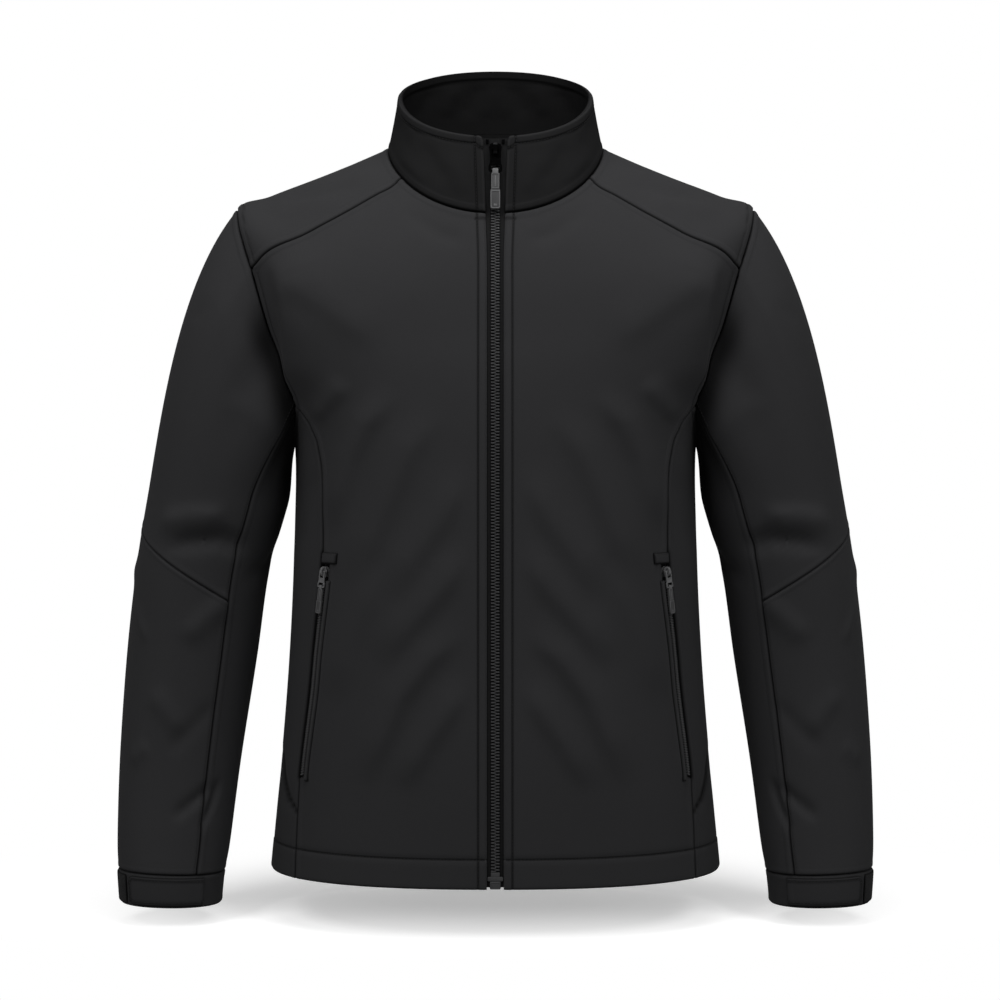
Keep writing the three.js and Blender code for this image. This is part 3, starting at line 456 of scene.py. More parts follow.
class Seam:
    """A seam line on the torso that can be read at any share of its length."""

    FINE = 400

    def __init__(self, rows: Sequence[tuple[float, float]], by_station: bool = False) -> None:
        """Args:
        rows: phi and station of each row.
        by_station: True where phi is read from the station, row by row.
        """
        points = np.array(rows, float)
        if by_station:
            s = np.linspace(points[0, 1], points[-1, 1], self.FINE)
            phi = self._by_station(points, s)
        else:
            phi, s = self._curve(points)
        self.phi, self.s = phi, s
        steps = np.linalg.norm(np.diff(Torso.plain(phi, s), axis=0), axis=-1)
        self.arc = np.concatenate([[0.0], np.cumsum(steps)])
        self.length = float(self.arc[-1])

    @staticmethod
    def _by_station(points: Grid, s: Grid) -> Grid:
        """phi at each station."""
        index = np.clip(np.searchsorted(points[:, 1], s, side="left") - 1, 0, len(points) - 2)
        t = (s - points[index, 1]) / (points[index + 1, 1] - points[index, 1])
        return mix(points[index, 0], points[index + 1, 0], smooth(t) * 0.4 + t * 0.6)

    def _curve(self, points: Grid) -> tuple[Grid, Grid]:
        """phi and station along a smooth line through the rows."""
        scaled = points * np.array([1.0, 12.0])
        knots = np.concatenate([[0.0], np.cumsum(np.linalg.norm(np.diff(scaled, axis=0), axis=1) ** 0.5)])
        slopes = np.gradient(points, knots, axis=0)
        at = np.linspace(0, knots[-1], self.FINE)
        index = np.clip(np.searchsorted(knots, at, side="right") - 1, 0, len(knots) - 2)
        span = (knots[index + 1] - knots[index])[:, None]
        t = (at - knots[index])[:, None] / span
        rows = (points[index], points[index + 1])
        value = hermite(rows, (slopes[index] * span, slopes[index + 1] * span), t)
        return value[:, 0], value[:, 1]

    def at(self, share: Grid) -> tuple[Grid, Grid]:
        """phi and station at shares of the length."""
        place = np.asarray(share, float) * self.length
        return np.interp(place, self.arc, self.phi), np.interp(place, self.arc, self.s)

    def phi_at(self, s: Grid) -> Grid:
        """phi at stations, where the station only rises along the seam."""
        return np.interp(s, self.s, self.phi)


SEAMS = {
    "princess_front": Seam(PRINCESS_FRONT, by_station=True),
    "princess_back": Seam(PRINCESS_BACK, by_station=True),
    "arm_front": Seam(ARM_FRONT),
    "arm_top": Seam(ARM_TOP),
    "arm_back": Seam(ARM_BACK),
    "arm_under": Seam(ARM_UNDER),
    "yoke_front": Seam(YOKE_FRONT),
    "yoke_back": Seam(YOKE_BACK),
}


class Armhole:
    """The loop that the sleeve is sewn to, by a coordinate k that counts its samples."""

    FRONT, TOP, BACK, UNDER = 6, 8, 6, 8
    ROUND = 28
    UNDER_START = 20
    CREST = 10
    CENTRE = np.array([212.0, 8.0, -160.0])
    TURN_KNOTS = ((0, 122), (6, 52), (10, 0), (14, -52), (20, -122), (28, -238))

    @classmethod
    def place(cls, k: Grid) -> tuple[Grid, Grid]:
        """phi and station of each k, which may run outside 0 to 28."""
        k = np.mod(np.asarray(k, float), cls.ROUND)
        spans = (
            ("arm_front", 0, cls.FRONT, False),
            ("arm_top", cls.FRONT, cls.TOP, False),
            ("arm_back", cls.FRONT + cls.TOP, cls.BACK, False),
            ("arm_under", cls.UNDER_START, cls.UNDER, True),
        )
        phi, s = np.zeros_like(k), np.zeros_like(k)
        for name, start, count, backwards in spans:
            share = np.clip((k - start) / count, 0, 1)
            here_phi, here_s = SEAMS[name].at(1 - share if backwards else share)
            inside = (k >= start) & (k <= start + count)
            phi, s = np.where(inside, here_phi, phi), np.where(inside, here_s, s)
        return phi, s

    @classmethod
    def turn(cls, k: Grid) -> Grid:
        """Degrees round the sleeve: 0 outer, 90 front, 180 inner."""
        k = np.asarray(k, float)
        knots = np.array(cls.TURN_KNOTS, float)
        wraps = np.floor(k / cls.ROUND)
        return np.interp(k - wraps * cls.ROUND, knots[:, 0], knots[:, 1]) - 360 * wraps


class Sleeve:
    """The sleeve's skin, by k round the armhole and v from 0 there, 1 at its first ring, to 7."""

    table = SmoothTable(SLEEVE_COLUMNS, SLEEVE_ROWS)
    SQUARE = 2.15
    ELBOW_OUTER, ELBOW_INNER = 1.68, 2.38
    CAP_WAY = np.array([0.51, 0.0, -0.87])
    CAP_LEAVE, CAP_ARRIVE = 0.9, 0.95

    @classmethod
    def ring(cls, turn: Grid, station: Grid) -> Grid:
        """Points on the rings below the shoulder."""
        turn, station = np.broadcast_arrays(np.asarray(turn, float), np.asarray(station, float))
        ring = cls.table.at(station)
        low = cls.table.at(np.maximum(station - 0.02, 0))
        high = cls.table.at(np.minimum(station + 0.02, cls.table.last))
        way = unit(np.stack([high["x"] - low["x"], high["z"] - low["z"]], -1))
        c, sine = np.cos(np.radians(turn)), np.sin(np.radians(turn))
        radius = (np.abs(c) ** cls.SQUARE + np.abs(sine) ** cls.SQUARE) ** (-1 / cls.SQUARE)
        out = radius * c * ring["width"] / 2
        return np.stack([
            ring["x"] - way[..., 1] * out,
            ring["y"] - radius * sine * ring["depth"] / 2,
            ring["z"] + way[..., 0] * out,
        ], -1)

    @classmethod
    def plain(cls, k: Grid, v: Grid) -> Grid:
        """The skin without folds."""
        k, v = np.broadcast_arrays(np.asarray(k, float), np.asarray(v, float))
        turn = Armhole.turn(k)
        below = cls.ring(turn, np.maximum(v - 1, 0))
        start = Torso.skin(*Armhole.place(k))
        end = cls.ring(turn, np.zeros_like(v))
        reach = np.linalg.norm(end - start, axis=-1, keepdims=True)
        leave = unit(end - Armhole.CENTRE) * 0.25 + cls.CAP_WAY + unit(start - Armhole.CENTRE) * 0.22
        leave = unit(leave) * reach * cls.CAP_LEAVE
        arrive = unit(cls.ring(turn, np.full_like(v, 0.05)) - end) * reach * cls.CAP_ARRIVE
        t = np.clip(v, 0, 1)[..., None]
        cap = hermite((start, end), (leave, arrive), t)
        return np.where((v >= 1)[..., None], below, cap)

    @classmethod
    def skin(cls, k: Grid, v: Grid) -> Grid:
        """The folded skin.

        Args:
            k: place round the armhole.
            v: place down the sleeve.

        Returns:
            Points in millimetres.
        """
        k, v = np.broadcast_arrays(np.asarray(k, float), np.asarray(v, float))
        point = cls.plain(k, v)
        height = fold_heights(SLEEVE_FOLDS, Armhole.turn(k), point[..., 2], TURN_MM, 360.0)
        ease = smooth(v / 0.8) * smooth((CUFF_START - v) / 0.7)
        away = -normals(cls.plain, k, v, 0.1, 0.02, 0.0, SLEEVE_END)
        return point + away * (height * ease)[..., None]

    @classmethod
    def away(cls, k: Grid, v: Grid) -> Grid:
        """Outward directions of the folded skin."""
        return -normals(cls.skin, k, v, 0.15, 0.02, 0.0, SLEEVE_END)

    @classmethod
    def elbow(cls, k: Grid) -> Grid:
        """v of the elbow seam at each k, level under the arm."""
        k = np.mod(np.asarray(k, float), Armhole.ROUND)
        reach = np.clip(np.abs(k - Armhole.CREST) / Armhole.CREST, 0, 1)
        outer_part = mix(cls.ELBOW_OUTER, cls.ELBOW_INNER, reach)
        return np.where(k >= Armhole.UNDER_START, cls.ELBOW_INNER, outer_part)


@dataclass(frozen=True)
class SeamShape:
    """How cloth sinks and swells beside an edge, in millimetres, and the shade painted into its groove and
    stitch dips, and the highlight painted on a rolled edge.
    """

    groove: float = 1.5
    groove_width: float = 0.9
    swell: float = 0.55
    allowance: float = 6.0
    stitch_at: float = 0.0
    stitch_dip: float = 0.8
    # The next four fields set the painted shade in the groove and in the stitch dips, and the painted
    # highlight beside a rolled edge.
    dark: float = 0.95
    shade_width: float = 1.0
    stitch_shade: float = 0.9
    edge_highlight: float = 0.0

    def tone(self, distance: Grid) -> Grid:
        """The painted shade at distances from the edge: how much darker the cloth is painted in the groove
        and stitch dips, and, below 0, how much lighter it is painted as a highlight on a rolled edge.
        """
        if self.edge_highlight:
            tone = -self.edge_highlight * np.exp(-(((distance - 1.0) / 0.9) ** 2))
        else:
            tone = self.dark * np.exp(-((distance / self.shade_width) ** 2))
        if self.stitch_at:
            tone += self.stitch_shade * np.exp(-(((distance - self.stitch_at) / 0.9) ** 2))
        return tone

    def height(self, distance: Grid) -> Grid:
        """The skin's change of height at distances from the edge."""
        height = -self.groove * np.exp(-((distance / self.groove_width) ** 2))
        height += self.swell * smooth(distance / 2.2) * (1 - smooth((distance - self.allowance + 1) / 2.5))
        if self.stitch_at:
            height -= self.stitch_dip * np.exp(-(((distance - self.stitch_at) / 0.9) ** 2))
        return height


PLAIN_SEAM = SeamShape()
ARMHOLE_SEAM = SeamShape(stitch_at=7.4, allowance=8.0, swell=0.5, dark=0.7, shade_width=0.8, stitch_shade=0.55)
SLEEVE_SEAM = SeamShape(stitch_at=2.4, allowance=3.6, swell=0.6, dark=0.7, shade_width=0.8, stitch_shade=0.3)
ELBOW_SEAM = SeamShape(groove=1.0, allowance=4.0, swell=0.45, dark=0.6, shade_width=0.8)
HEM_EDGE = SeamShape(groove=0.8, swell=0.4, allowance=26.5, stitch_at=26.5, edge_highlight=0.3)
COLLAR_EDGE = SeamShape(groove=0.9, groove_width=1.0, swell=0.35, allowance=7.6, stitch_at=7.6,
                        edge_highlight=0.25)
PLACKET_EDGE = SeamShape(groove=1.0, groove_width=1.1, swell=0.4, allowance=7.6, stitch_at=7.6,
                         edge_highlight=1.0)
CUFF_EDGE = SeamShape(groove=1.1, swell=0.2, allowance=5.0)
WELT_EDGE = SeamShape(groove=0.75, groove_width=0.75, swell=0.15, allowance=2.5)
END_TAB_EDGE = SeamShape(groove=1.0, groove_width=1.0, swell=0.0)
TAB_EDGE = SeamShape(groove=0.8, groove_width=0.8, swell=0.2, allowance=3.2, stitch_at=3.0, stitch_dip=0.25)
STRIP_EDGE = SeamShape(groove=0.5, groove_width=0.6, swell=0.0)
# The pocket edge paints the dark shade of the pocket's slot onto the side panel's edge.
POCKET_EDGE = SeamShape(groove=2.2, groove_width=1.6, swell=0.0, dark=1.3, shade_width=2.6)
TORSO_SEAMS = {"armhole": ARMHOLE_SEAM, "hem": HEM_EDGE, "placket": PLACKET_EDGE, "pocket": POCKET_EDGE}
SIDE_CURVE = ((194, -550), (192, -569), (190, -578), (186, -589), (178, -597))
PLACKET_BAR = ((7.5, -69), (17.5, -69))
SIDE_STITCH = 1.5
WELT_STITCH = 1.4
EDGE_MARKS = (0.0, 0.35, 0.8, 1.4, 2.4, 4.0, 5.8, 6.7, 7.4, 8.1, 9.2, 11.0)
MARK_SPREAD = (-1.6, -0.8, -0.3, 0.3, 0.8, 1.6)
MARK_REACH = 0.45
LEAST_STEP = 0.15
STEP = 4.0


def spread(length: float, near: bool, far: bool, extra: Sequence[float] = (), step: float = STEP) -> Grid:
    """Places from 0 to a length, even between crowded ends.

    Args:
        length: the length in millimetres.
        near: True to crowd at 0.
        far: True to crowd at the length.
        extra: places to crowd about as well.
        step: the even step.

    Returns:
        Rising places in millimetres.
    """
    marks = [m for m in EDGE_MARKS if m < length * MARK_REACH]
    places = {0.0, length}
    places.update(marks if near else ())
    places.update([length - m for m in marks] if far else ())
    for middle in extra:
        places.update(middle + d for d in MARK_SPREAD if 0 < middle + d < length)
    fixed = sorted(places)
    filled = [fixed[0]]
    for a, b in zip(fixed, fixed[1:]):
        count = max(1, int(round((b - a) / step)))
        filled.extend(a + (b - a) * i / count for i in range(1, count + 1))
    kept = [filled[0]]
    kept.extend(p for last, p in zip(filled, filled[1:]) if p - last > LEAST_STEP)
    kept[-1] = length
    return np.array(kept)


def lengths_along(points: Grid) -> Grid:
    """Running length of a line of points."""
    return np.concatenate([[0.0], np.cumsum(np.linalg.norm(np.diff(points, axis=0), axis=-1))])


def distance_to_line(points: Grid, line: Grid) -> Grid:
    """The distance from each point to a line of points.

    Args:
        points: a grid of points.
        line: the line's points, in order.

    Returns:
        Distances in the grid's shape.
    """
    flat = points.reshape(-1, 3)
    best = np.full(len(flat), np.inf)
    for a, b in zip(line[:-1], line[1:]):
        way = b - a
        t = np.clip(((flat - a) @ way) / max(way @ way, 1e-12), 0, 1)
        off = flat - a - t[:, None] * way
        best = np.minimum(best, np.einsum("ij,ij->i", off, off))
    return np.sqrt(best).reshape(points.shape[:-1])


def make_mesh(
    name: str,
    verts: Grid,
    faces: Sequence[Sequence[int]],
    material: bpy.types.Material,
    uv: Grid | None = None,
    angle: float = 40.0,
    shade: Grid | None = None,
) -> bpy.types.Object:
    """Makes a smooth-shaded object from arrays.

    Args:
        name: the piece's name.
        verts: points in metres.
        faces: vertex numbers of each face.
        material: the finish.
        uv: cut coordinates in metres, one pair a vertex.
        angle: edges sharper than this, in degrees, stay crisp.
        shade: the painted shade at each vertex: how much darker the finish is painted, and below 0 how much
            lighter, as a painted highlight.

    Returns:
        The object, in the scene.
    """
    mesh = bpy.data.meshes.new(name)
    face_list = faces.tolist() if isinstance(faces, np.ndarray) else faces
    mesh.from_pydata(np.asarray(verts).tolist(), [], face_list)
    mesh.polygons.foreach_set("use_smooth", [True] * len(mesh.polygons))
    if uv is not None:
        layer = mesh.uv_layers.new(name="cut")
        corners = np.empty(len(mesh.loops), np.int32)
        mesh.loops.foreach_get("vertex_index", corners)
        layer.data.foreach_set("uv", uv[corners].astype(np.float32).ravel())
    if shade is not None:
        tones = mesh.attributes.new("shade", "FLOAT", "POINT")
        tones.data.foreach_set("value", np.asarray(shade, np.float32).ravel())
    mesh.materials.append(material)
    mesh.validate()
    mesh.update()
    mesh.set_sharp_from_angle(angle=math.radians(angle))
    made = bpy.data.objects.new(name, mesh)
    bpy.context.scene.collection.objects.link(made)
    return made


@dataclass(frozen=True)
class Border:
    """A stretch of a panel's edge: from one row or column number to another."""

    edge: Edge
    first: int = 0
    last: int = -1


class Shell:
    """A cloth panel as a grid of outer points, with the way out and the painted shade at each."""

    def __init__(self, outer: Grid, away: Grid, wrap: bool = False, wall: float = WALL) -> None:
        """Args:
        outer: points, rows by columns.
        away: outward directions.
        wrap: True where the last column meets the first.
        wall: the cloth's thickness.
        """
        self.base, self.outer, self.away = outer, outer.copy(), away
        self.wrap, self.wall = wrap, wall
        # Painted shade at each point: above 0 the colour is painted darker, below 0 lighter as a painted
        # highlight.
        self.shade = np.zeros(outer.shape[:2])
        across = np.linalg.norm(np.diff(outer, axis=1), axis=-1)
        along = np.linalg.norm(np.diff(outer, axis=0), axis=-1)
        self.u = np.pad(np.cumsum(across, axis=1), ((0, 0), (1, 0)))
        self.v = np.pad(np.cumsum(along, axis=0), ((1, 0), (0, 0)))

    def border_line(self, border: Border) -> Grid:
        """The points of a border, before the skin was shaped."""
        run = slice(border.first, None if border.last == -1 else border.last + 1)
        place = {Edge.LEFT: (run, 0), Edge.RIGHT: (run, -1), Edge.FIRST: (0, run), Edge.LAST: (-1, run)}
        return self.base[place[border.edge]]

    def distance(self, border: Border) -> Grid:
        """Millimetres from a border at every vertex."""
        line = self.border_line(border)
        if self.wrap and border.edge in (Edge.FIRST, Edge.LAST):
            line = np.concatenate([line, line[:1]])
        return distance_to_line(self.base, line)

    def sew(self, seams: dict[Border, SeamShape]) -> "Shell":
        """Sinks and swells the skin beside its borders, and paints shade into the grooves and stitch dips and
        a highlight on rolled edges.

        Args:
            seams: the shape at each border.

        Returns:
            The shell itself.
        """
        for border, seam in seams.items():
            far = self.distance(border)
            self.outer = self.outer + self.away * seam.height(far)[..., None]
            tone = seam.tone(far)
            self.shade = np.where(np.abs(tone) > np.abs(self.shade), tone, self.shade)
        return self

    def score(self, path: Sequence[tuple[float, float]], dip: float = 0.8, width: float = 1.2) -> "Shell":
        """Sinks the front of the skin along a sewn line and paints shade into the dip.

        Args:
            path: x and z of the line's points.
            dip: how deep it sinks.
            width: half its width.

        Returns:
            The shell itself.
        """
        line = np.array([(x, 0, z) for x, z in path], float)
        far = distance_to_line(self.base * np.array([1.0, 0.0, 1.0]), line)
        share = np.where(self.base[..., 1] < 0, np.exp(-((far / width) ** 2)), 0.0)
        self.outer = self.outer - self.away * (dip * share)[..., None]
        self.shade = np.maximum(self.shade, share)
        return self

    def line(self, border: Border, distance: float, trim: float = 0.0) -> tuple[Grid, Grid]:
        """A line on the skin at a set distance from a border.

        Args:
            border: the border.
            distance: millimetres from it.
            trim: millimetres left off at each end.

        Returns:
            Points and outward directions.
        """
        far = self.distance(border)
        side = border.edge in (Edge.LEFT, Edge.RIGHT)
        count = self.outer.shape[0 if side else 1]
        last = count - 1 if border.last == -1 else border.last
        points, ways = [], []
        inwards = slice(None, None, -1 if border.edge in (Edge.RIGHT, Edge.LAST) else 1)
        for i in range(border.first, last + 1):
            grids = (far, self.outer, self.away)
            reach, skin, away = ((grid[i] if side else grid[:, i])[inwards] for grid in grids)
            reach = np.maximum.accumulate(reach)
            points.append([np.interp(distance, reach, skin[:, c]) for c in range(3)])
            ways.append([np.interp(distance, reach, away[:, c]) for c in range(3)])
        line, way = np.array(points), unit(np.array(ways))
        if trim:
            arc = lengths_along(line)
            keep = (arc >= trim) & (arc <= arc[-1] - trim)
            line, way = line[keep], way[keep]
        return line, way

    def mirrored(self) -> "Shell":
        """The same panel on the other half of the garment."""
        twin = Shell(self.base * MIRROR, self.away * MIRROR, self.wrap, self.wall)
        twin.outer, twin.shade = self.outer * MIRROR, self.shade
        return twin

    def area(self) -> float:
        """The skin's area in square metres."""
        grid = np.concatenate([self.base, self.base[:, :1]], axis=1) if self.wrap else self.base
        a, b = grid[:-1, :-1], grid[:-1, 1:]
        c, d = grid[1:, 1:], grid[1:, :-1]
        total = np.linalg.norm(np.cross(b - a, c - a), axis=-1).sum()
        total += np.linalg.norm(np.cross(c - a, d - a), axis=-1).sum()
        return float(total) / 2 * MM * MM

    def build(self, name: str, material: bpy.types.Material) -> bpy.types.Object:
        """Makes the closed, thin mesh.

        Args:
            name: the piece's name.
            material: the finish.

        Returns:
            The object, in the scene.
        """
        rows, columns = self.outer.shape[:2]
        inner = self.outer - self.away * self.wall
        verts = np.concatenate([self.outer.reshape(-1, 3), inner.reshape(-1, 3)]) * MM
        numbers = np.arange(rows * columns).reshape(rows, columns)
        if self.wrap:
            numbers = np.concatenate([numbers, numbers[:, :1]], axis=1)
        a, b = numbers[:-1, :-1], numbers[:-1, 1:]
        c, d = numbers[1:, 1:], numbers[1:, :-1]
        layer = rows * columns
        faces = [np.stack([a, b, c, d], -1).reshape(-1, 4), np.stack([a, d, c, b], -1).reshape(-1, 4) + layer]
        rims = [numbers[0, ::-1], numbers[-1, :]]
        if not self.wrap:
            rims += [numbers[:, 0], numbers[::-1, -1]]
        for rim in rims:
            p, q = rim[:-1], rim[1:]
            faces.append(np.stack([p, q, q + layer, p + layer], -1))
        faces = np.concatenate(faces)
        i, j = rows // 2, columns // 2
        turned = np.cross(self.outer[i, j] - self.outer[i, j - 1], self.outer[i, j] - self.outer[i - 1, j])
        if turned @ self.away[i, j] < 0:
            faces = faces[:, ::-1]
        uv = np.stack([self.u, self.v], -1).reshape(-1, 2) * MM
        shade = np.concatenate([self.shade.ravel(), self.shade.ravel()])
        return make_mesh(name, verts, faces, material, np.concatenate([uv, uv]), shade=shade)


def even_columns(place: Place, rows: Grid, near: bool, far: bool, step: float = STEP) -> Grid:
    """Shares across a panel whose columns keep their distance from its crowded edges.

    Args:
        place: gives points from shares across and row places, both rows by columns.
        rows: the row places.
        near: True to crowd columns at share 0.
        far: True to crowd columns at share 1.
        step: the even step between the edges.

    Returns:
        Shares, rows by columns.
    """
    coarse = np.linspace(0, 1, 61)
    points = place(np.broadcast_to(coarse, (len(rows), 61)), np.broadcast_to(rows[:, None], (len(rows), 61)))
    steps = np.linalg.norm(np.diff(points, axis=1), axis=-1)
    arcs = np.pad(np.cumsum(steps, axis=1), ((0, 0), (1, 0)))
    widths = arcs[:, -1]
    wide = float(widths.max())
    template = spread(wide, near, far, step=step)
    low = EDGE_MARKS[-1] if near else 0.0
    high = EDGE_MARKS[-1] if far else 0.0
    shares = np.empty((len(rows), len(template)))
    for i, width in enumerate(widths):
        if width < 3 * (low + high):
            target = template * width / wide
        else:
            middle = low + (template - low) * (width - high - low) / (wide - high - low)
            target = np.where(template <= low, template, np.where(template >= wide - high,
                              template - wide + width, middle))
        shares[i] = np.interp(target, arcs[i], coarse)
    return shares


def torso_shell(place: Callable[[Grid, Grid], tuple[Grid, Grid]], rows: Grid, near: bool, far: bool) -> Shell:
    """A panel of the torso.

    Args:
        place: phi and station from shares across and row places.
        rows: the row places.
        near: True to crowd columns at share 0.
        far: True to crowd columns at share 1.

    Returns:
        The shell.
    """
    shares = even_columns(lambda t, r: Torso.plain(*place(t, r)), rows, near, far)
    phi, s = place(shares, np.broadcast_to(rows[:, None], shares.shape))
    return Shell(Torso.skin(phi, s), Torso.away(phi, s))


def front_edge_half(path: Grid) -> Grid:
    """Half the opening between the fronts, up the torso and then up the collar."""
    low = mix(7.4, 8.7, smooth((np.asarray(path, float) - 8) / 2))
    return np.where(np.asarray(path) <= NECK, low, mix(8.7, 11, (np.asarray(path) - NECK) / COLLAR_TOP))


def front_phi(table: SmoothTable, x: Grid, station: Grid) -> Grid:
    """phi at a distance x from the centre front."""
    return -np.degrees(np.arctan2(table.at(station)["front"], x))


@dataclass(frozen=True)
class PocketPlace:
    """Where the pocket's zip lies on the front side seam, by station, and half its slot."""

    low: float = 0.92
    high: float = 2.93
    half: float = 4.3
    ramp: float = 0.03

    def slot_half(self, s: Grid) -> Grid:
        """Half the slot at stations, closed above and below."""
        return self.half * smooth((s - self.low) / self.ramp) * smooth((self.high - s) / self.ramp)

    @staticmethod
    def phi(s: Grid, offset: Grid) -> Grid:
        """phi at a distance in millimetres round from the seam."""
        phi = SEAMS["princess_front"].phi_at(s)
        step = np.linalg.norm(Torso.plain(phi + 0.5, s) - Torso.plain(phi - 0.5, s), axis=-1)
        return phi + offset / step

    def zip_phi(self, s: Grid, offset: Grid) -> Grid:
        """phi at a distance in millimetres round from the middle of the slot."""
        return self.phi(s, offset - self.half)


POCKET = PocketPlace()


class Rim:
    """A panel's side edge, made of seams joined end to end, read by millimetres along it."""

    def __init__(self, spans: Sequence[tuple[str, bool]], marks: Sequence[float] = ()) -> None:
        """Args:
        spans: seam names, and True for one that is followed backwards.
        marks: stations of the first seam to crowd rows about.
        """
        self.spans = [(SEAMS[name], backwards) for name, backwards in spans]
        self.ends = np.concatenate([[0.0], np.cumsum([seam.length for seam, _ in self.spans])])
        first = self.spans[0][0]
        extra = [HEM_EDGE.stitch_at] + [float(np.interp(s, first.s, first.arc)) for s in marks]
        rows, self.breaks = [np.zeros(1)], [0]
        for number, (seam, _) in enumerate(self.spans):
            at_start, at_end = number == 0, number == len(self.spans) - 1
            part = spread(seam.length, at_start, at_end, extra if at_start else ())
            rows.append(self.ends[number] + part[1:])
            self.breaks.append(self.breaks[-1] + len(part) - 1)
        self.rows = np.concatenate(rows)

    def at(self, place: Grid) -> tuple[Grid, Grid]:
        """phi and station at millimetres along the rim."""
        phi, s = np.zeros_like(place), np.zeros_like(place)
        for number, (seam, backwards) in enumerate(self.spans):
            share = np.clip((place - self.ends[number]) / seam.length, 0, 1)
            here_phi, here_s = seam.at(1 - share if backwards else share)
            inside = place >= self.ends[number] - 1e-9
            phi, s = np.where(inside, here_phi, phi), np.where(inside, here_s, s)
        return phi, s

    def stretch(self, edge: Edge, number: int) -> Border:
        """The border along one of the seams."""
        return Border(edge, self.breaks[number], self.breaks[number + 1])


def cut_of(shell: Shell) -> tuple[float, float, float]:
    """The flat size of a panel in metres: its widest row, its longest column and its area."""
    width = float(shell.u[:, -1].max()) * MM
    if shell.wrap:
        width += float(np.linalg.norm(shell.base[:, 0] - shell.base[:, -1], axis=-1).max()) * MM
    length = float(shell.v[-1].max()) * MM
    return width, length, float(np.clip(shell.area(), LEAST_FILL * width * length, width * length))


def settle(made: bpy.types.Object, slot: str, *nodes: str, body: str = BODY) -> None:
    """Sets a piece on its body, in place of its solids.

    Args:
        made: the piece.
        slot: not used.
        nodes: the solids that it stands for, if any.
        body: the body that it moves with.
    """
    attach(made, body)
    if nodes:
        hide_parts(*nodes)


def add_cloth(
    name: str, shell: Shell, material: bpy.types.Material, nodes: Sequence[str], slot: str = "shell_cloth"
) -> None:
    """Builds a shell, sets it in the frame and logs its flat size and area.

    Args:
        name: the piece's name.
        shell: the shaped panel.
        material: the finish.
        nodes: the solids that it stands for.
        slot: the record's material slot.
    """
    made = shell.build(name, material)
    settle(made, slot, *nodes)
    width, length, area = cut_of(shell)
    LOG.info("%s: %.3f x %.3f m flat, %.4f m2, %d faces", name, width, length, area, len(made.data.polygons))


def add_pair(name: str, shell: Shell, material: bpy.types.Material, node: str,
             slot: str = "shell_cloth") -> None:
    """Adds a panel on the viewer's right, and its mirror image on the left.

    Args:
        name: the pieces' name, without its letter.
        shell: the right one.
        material: the finish.
        node: the solids' name, without its letter.
        slot: the record's material slot.
    """
    add_cloth(f"{name}_r", shell, material, [f"{node}_r"], slot)
    add_cloth(f"{name}_l", shell.mirrored(), material, [f"{node}_l"], slot)


